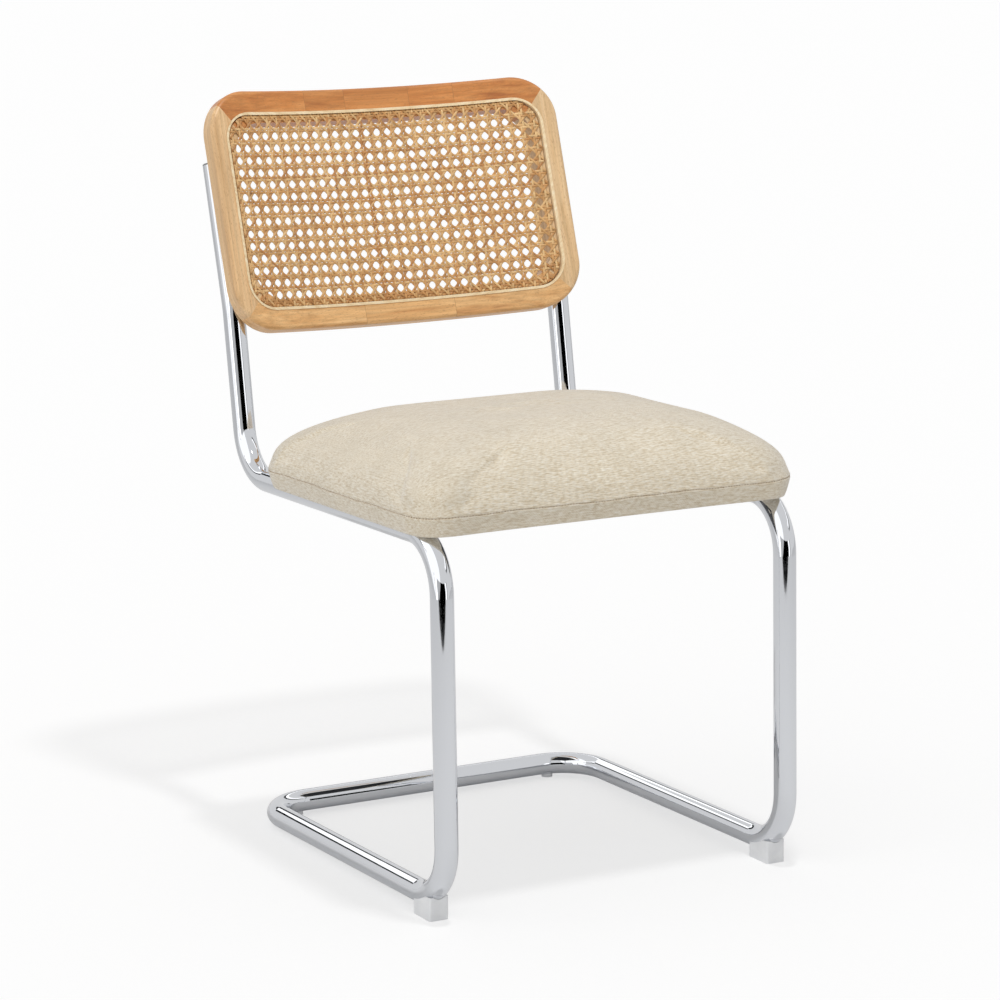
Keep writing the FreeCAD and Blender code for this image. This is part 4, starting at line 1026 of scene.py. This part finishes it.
def surroundings():
    """White to the eye, softer as light, and dark behind the camera where metal mirrors it."""
    world = bpy.data.worlds.new("studio")
    bpy.context.scene.world = world
    world.use_nodes = True
    tree = world.node_tree
    tree.nodes.clear()
    link = tree.links.new

    def node(kind, **settings):
        made_node = tree.nodes.new("ShaderNode" + kind)
        for name, value in settings.items():
            setattr(made_node, name, value)
        return made_node

    def calculate(operation, *values):
        item = node("Math", operation=operation)
        for socket, value in zip(item.inputs, values):
            if isinstance(value, bpy.types.NodeSocket):
                link(value, socket)
            else:
                socket.default_value = value
        return item.outputs[0]

    way = node("TexCoord").outputs["Generated"]
    split = node("SeparateXYZ")
    link(way, split.inputs[0])
    height = split.outputs["Z"]
    dot = node("VectorMath", operation="DOT_PRODUCT")
    link(way, dot.inputs[0])
    dot.inputs[1].default_value = (math.sin(CAMERA_AZIMUTH), -math.cos(CAMERA_AZIMUTH), 0)
    facing = dot.outputs["Value"]
    low = calculate("LESS_THAN", height, ROOM_TOP)
    behind = calculate("LESS_THAN", facing, BEHIND_FACING)
    room = calculate("MULTIPLY", calculate("GREATER_THAN", facing, ROOM_FACING), low)
    line = calculate("MULTIPLY", calculate("COMPARE", height, *DARK_LINE), behind)
    edge = calculate("MULTIPLY", calculate("COMPARE", facing, *DARK_EDGE), low)
    dark = calculate("MAXIMUM", calculate("MAXIMUM", room, line), edge)
    side_box = calculate("MULTIPLY", calculate("COMPARE", facing, *SIDE_BOX), low)
    high_box = calculate("MULTIPLY", calculate("COMPARE", height, *HIGH_BOX), behind)
    boxes = calculate("MAXIMUM", side_box, high_box)
    path = node("LightPath").outputs
    tone = calculate("ADD", calculate("MULTIPLY", boxes, SOFTBOX_GAIN), MIRRORED_WHITE)
    tone = calculate("MULTIPLY", tone, calculate("SUBTRACT", 1.0, dark))
    mirrored = calculate("MULTIPLY", path["Is Glossy Ray"], tone)
    seen = calculate("MAXIMUM", path["Is Camera Ray"], path["Is Transmission Ray"])
    shown = calculate("MAXIMUM", calculate("MULTIPLY", seen, SEEN_WHITE), mirrored)
    soft = calculate("MULTIPLY", calculate("SUBTRACT", 1.0, path["Is Glossy Ray"]), AMBIENT)
    strength = calculate("MAXIMUM", shown, soft)
    back = node("Background")
    back.inputs["Color"].default_value = (1, 1, 1, 1)
    link(strength, back.inputs["Strength"])
    out = node("OutputWorld")
    link(back.outputs[0], out.inputs["Surface"])


def fill_light():
    """Even light from the left; its wide spread leaves its shadows without edges."""
    light = bpy.data.lights.new("fill", "SUN")
    light.angle = FILL_SPREAD
    light.energy = FILL_LIGHT
    item = bpy.data.objects.new("fill", light)
    item.rotation_euler = FILL_WAY.to_track_quat("Z", "Y").to_euler()
    bpy.context.collection.objects.link(item)


def key_lamp():
    """A small lamp overhead, level with the floor; near enough for its shadows to spread."""
    light = bpy.data.lights.new("key", "AREA")
    light.shape = "DISK"
    light.size = KEY_SIZE
    light.energy = KEY_ON_FLOOR * (math.pi * KEY_PLACE.z) ** 2
    item = bpy.data.objects.new("key", light)
    item.location = KEY_PLACE
    bpy.context.collection.objects.link(item)


def camera():
    """The eye of the photograph: a long lens, a little above the seat and to its left."""
    azimuth, elevation = CAMERA_AZIMUTH, CAMERA_ELEVATION
    back = Vector((
        math.sin(azimuth) * math.cos(elevation),
        -math.cos(azimuth) * math.cos(elevation),
        math.sin(elevation),
    ))
    right = Vector((math.cos(azimuth), math.sin(azimuth), 0))
    up = back.cross(right)
    rolled_right = right * math.cos(CAMERA_ROLL) + up * math.sin(CAMERA_ROLL)
    rolled_up = up * math.cos(CAMERA_ROLL) - right * math.sin(CAMERA_ROLL)
    lens = bpy.data.cameras.new("camera")
    lens.lens = CAMERA_LENS
    lens.sensor_width = 36
    eye = bpy.data.objects.new("camera", lens)
    turn = Matrix((rolled_right, rolled_up, back)).transposed().to_4x4()
    eye.matrix_world = Matrix.Translation(CAMERA_TARGET + back * CAMERA_DISTANCE) @ turn
    bpy.context.collection.objects.link(eye)
    bpy.context.scene.camera = eye


ground()
surroundings()
key_lamp()
fill_light()
camera()
bpy.context.scene.view_settings.view_transform = "Standard"
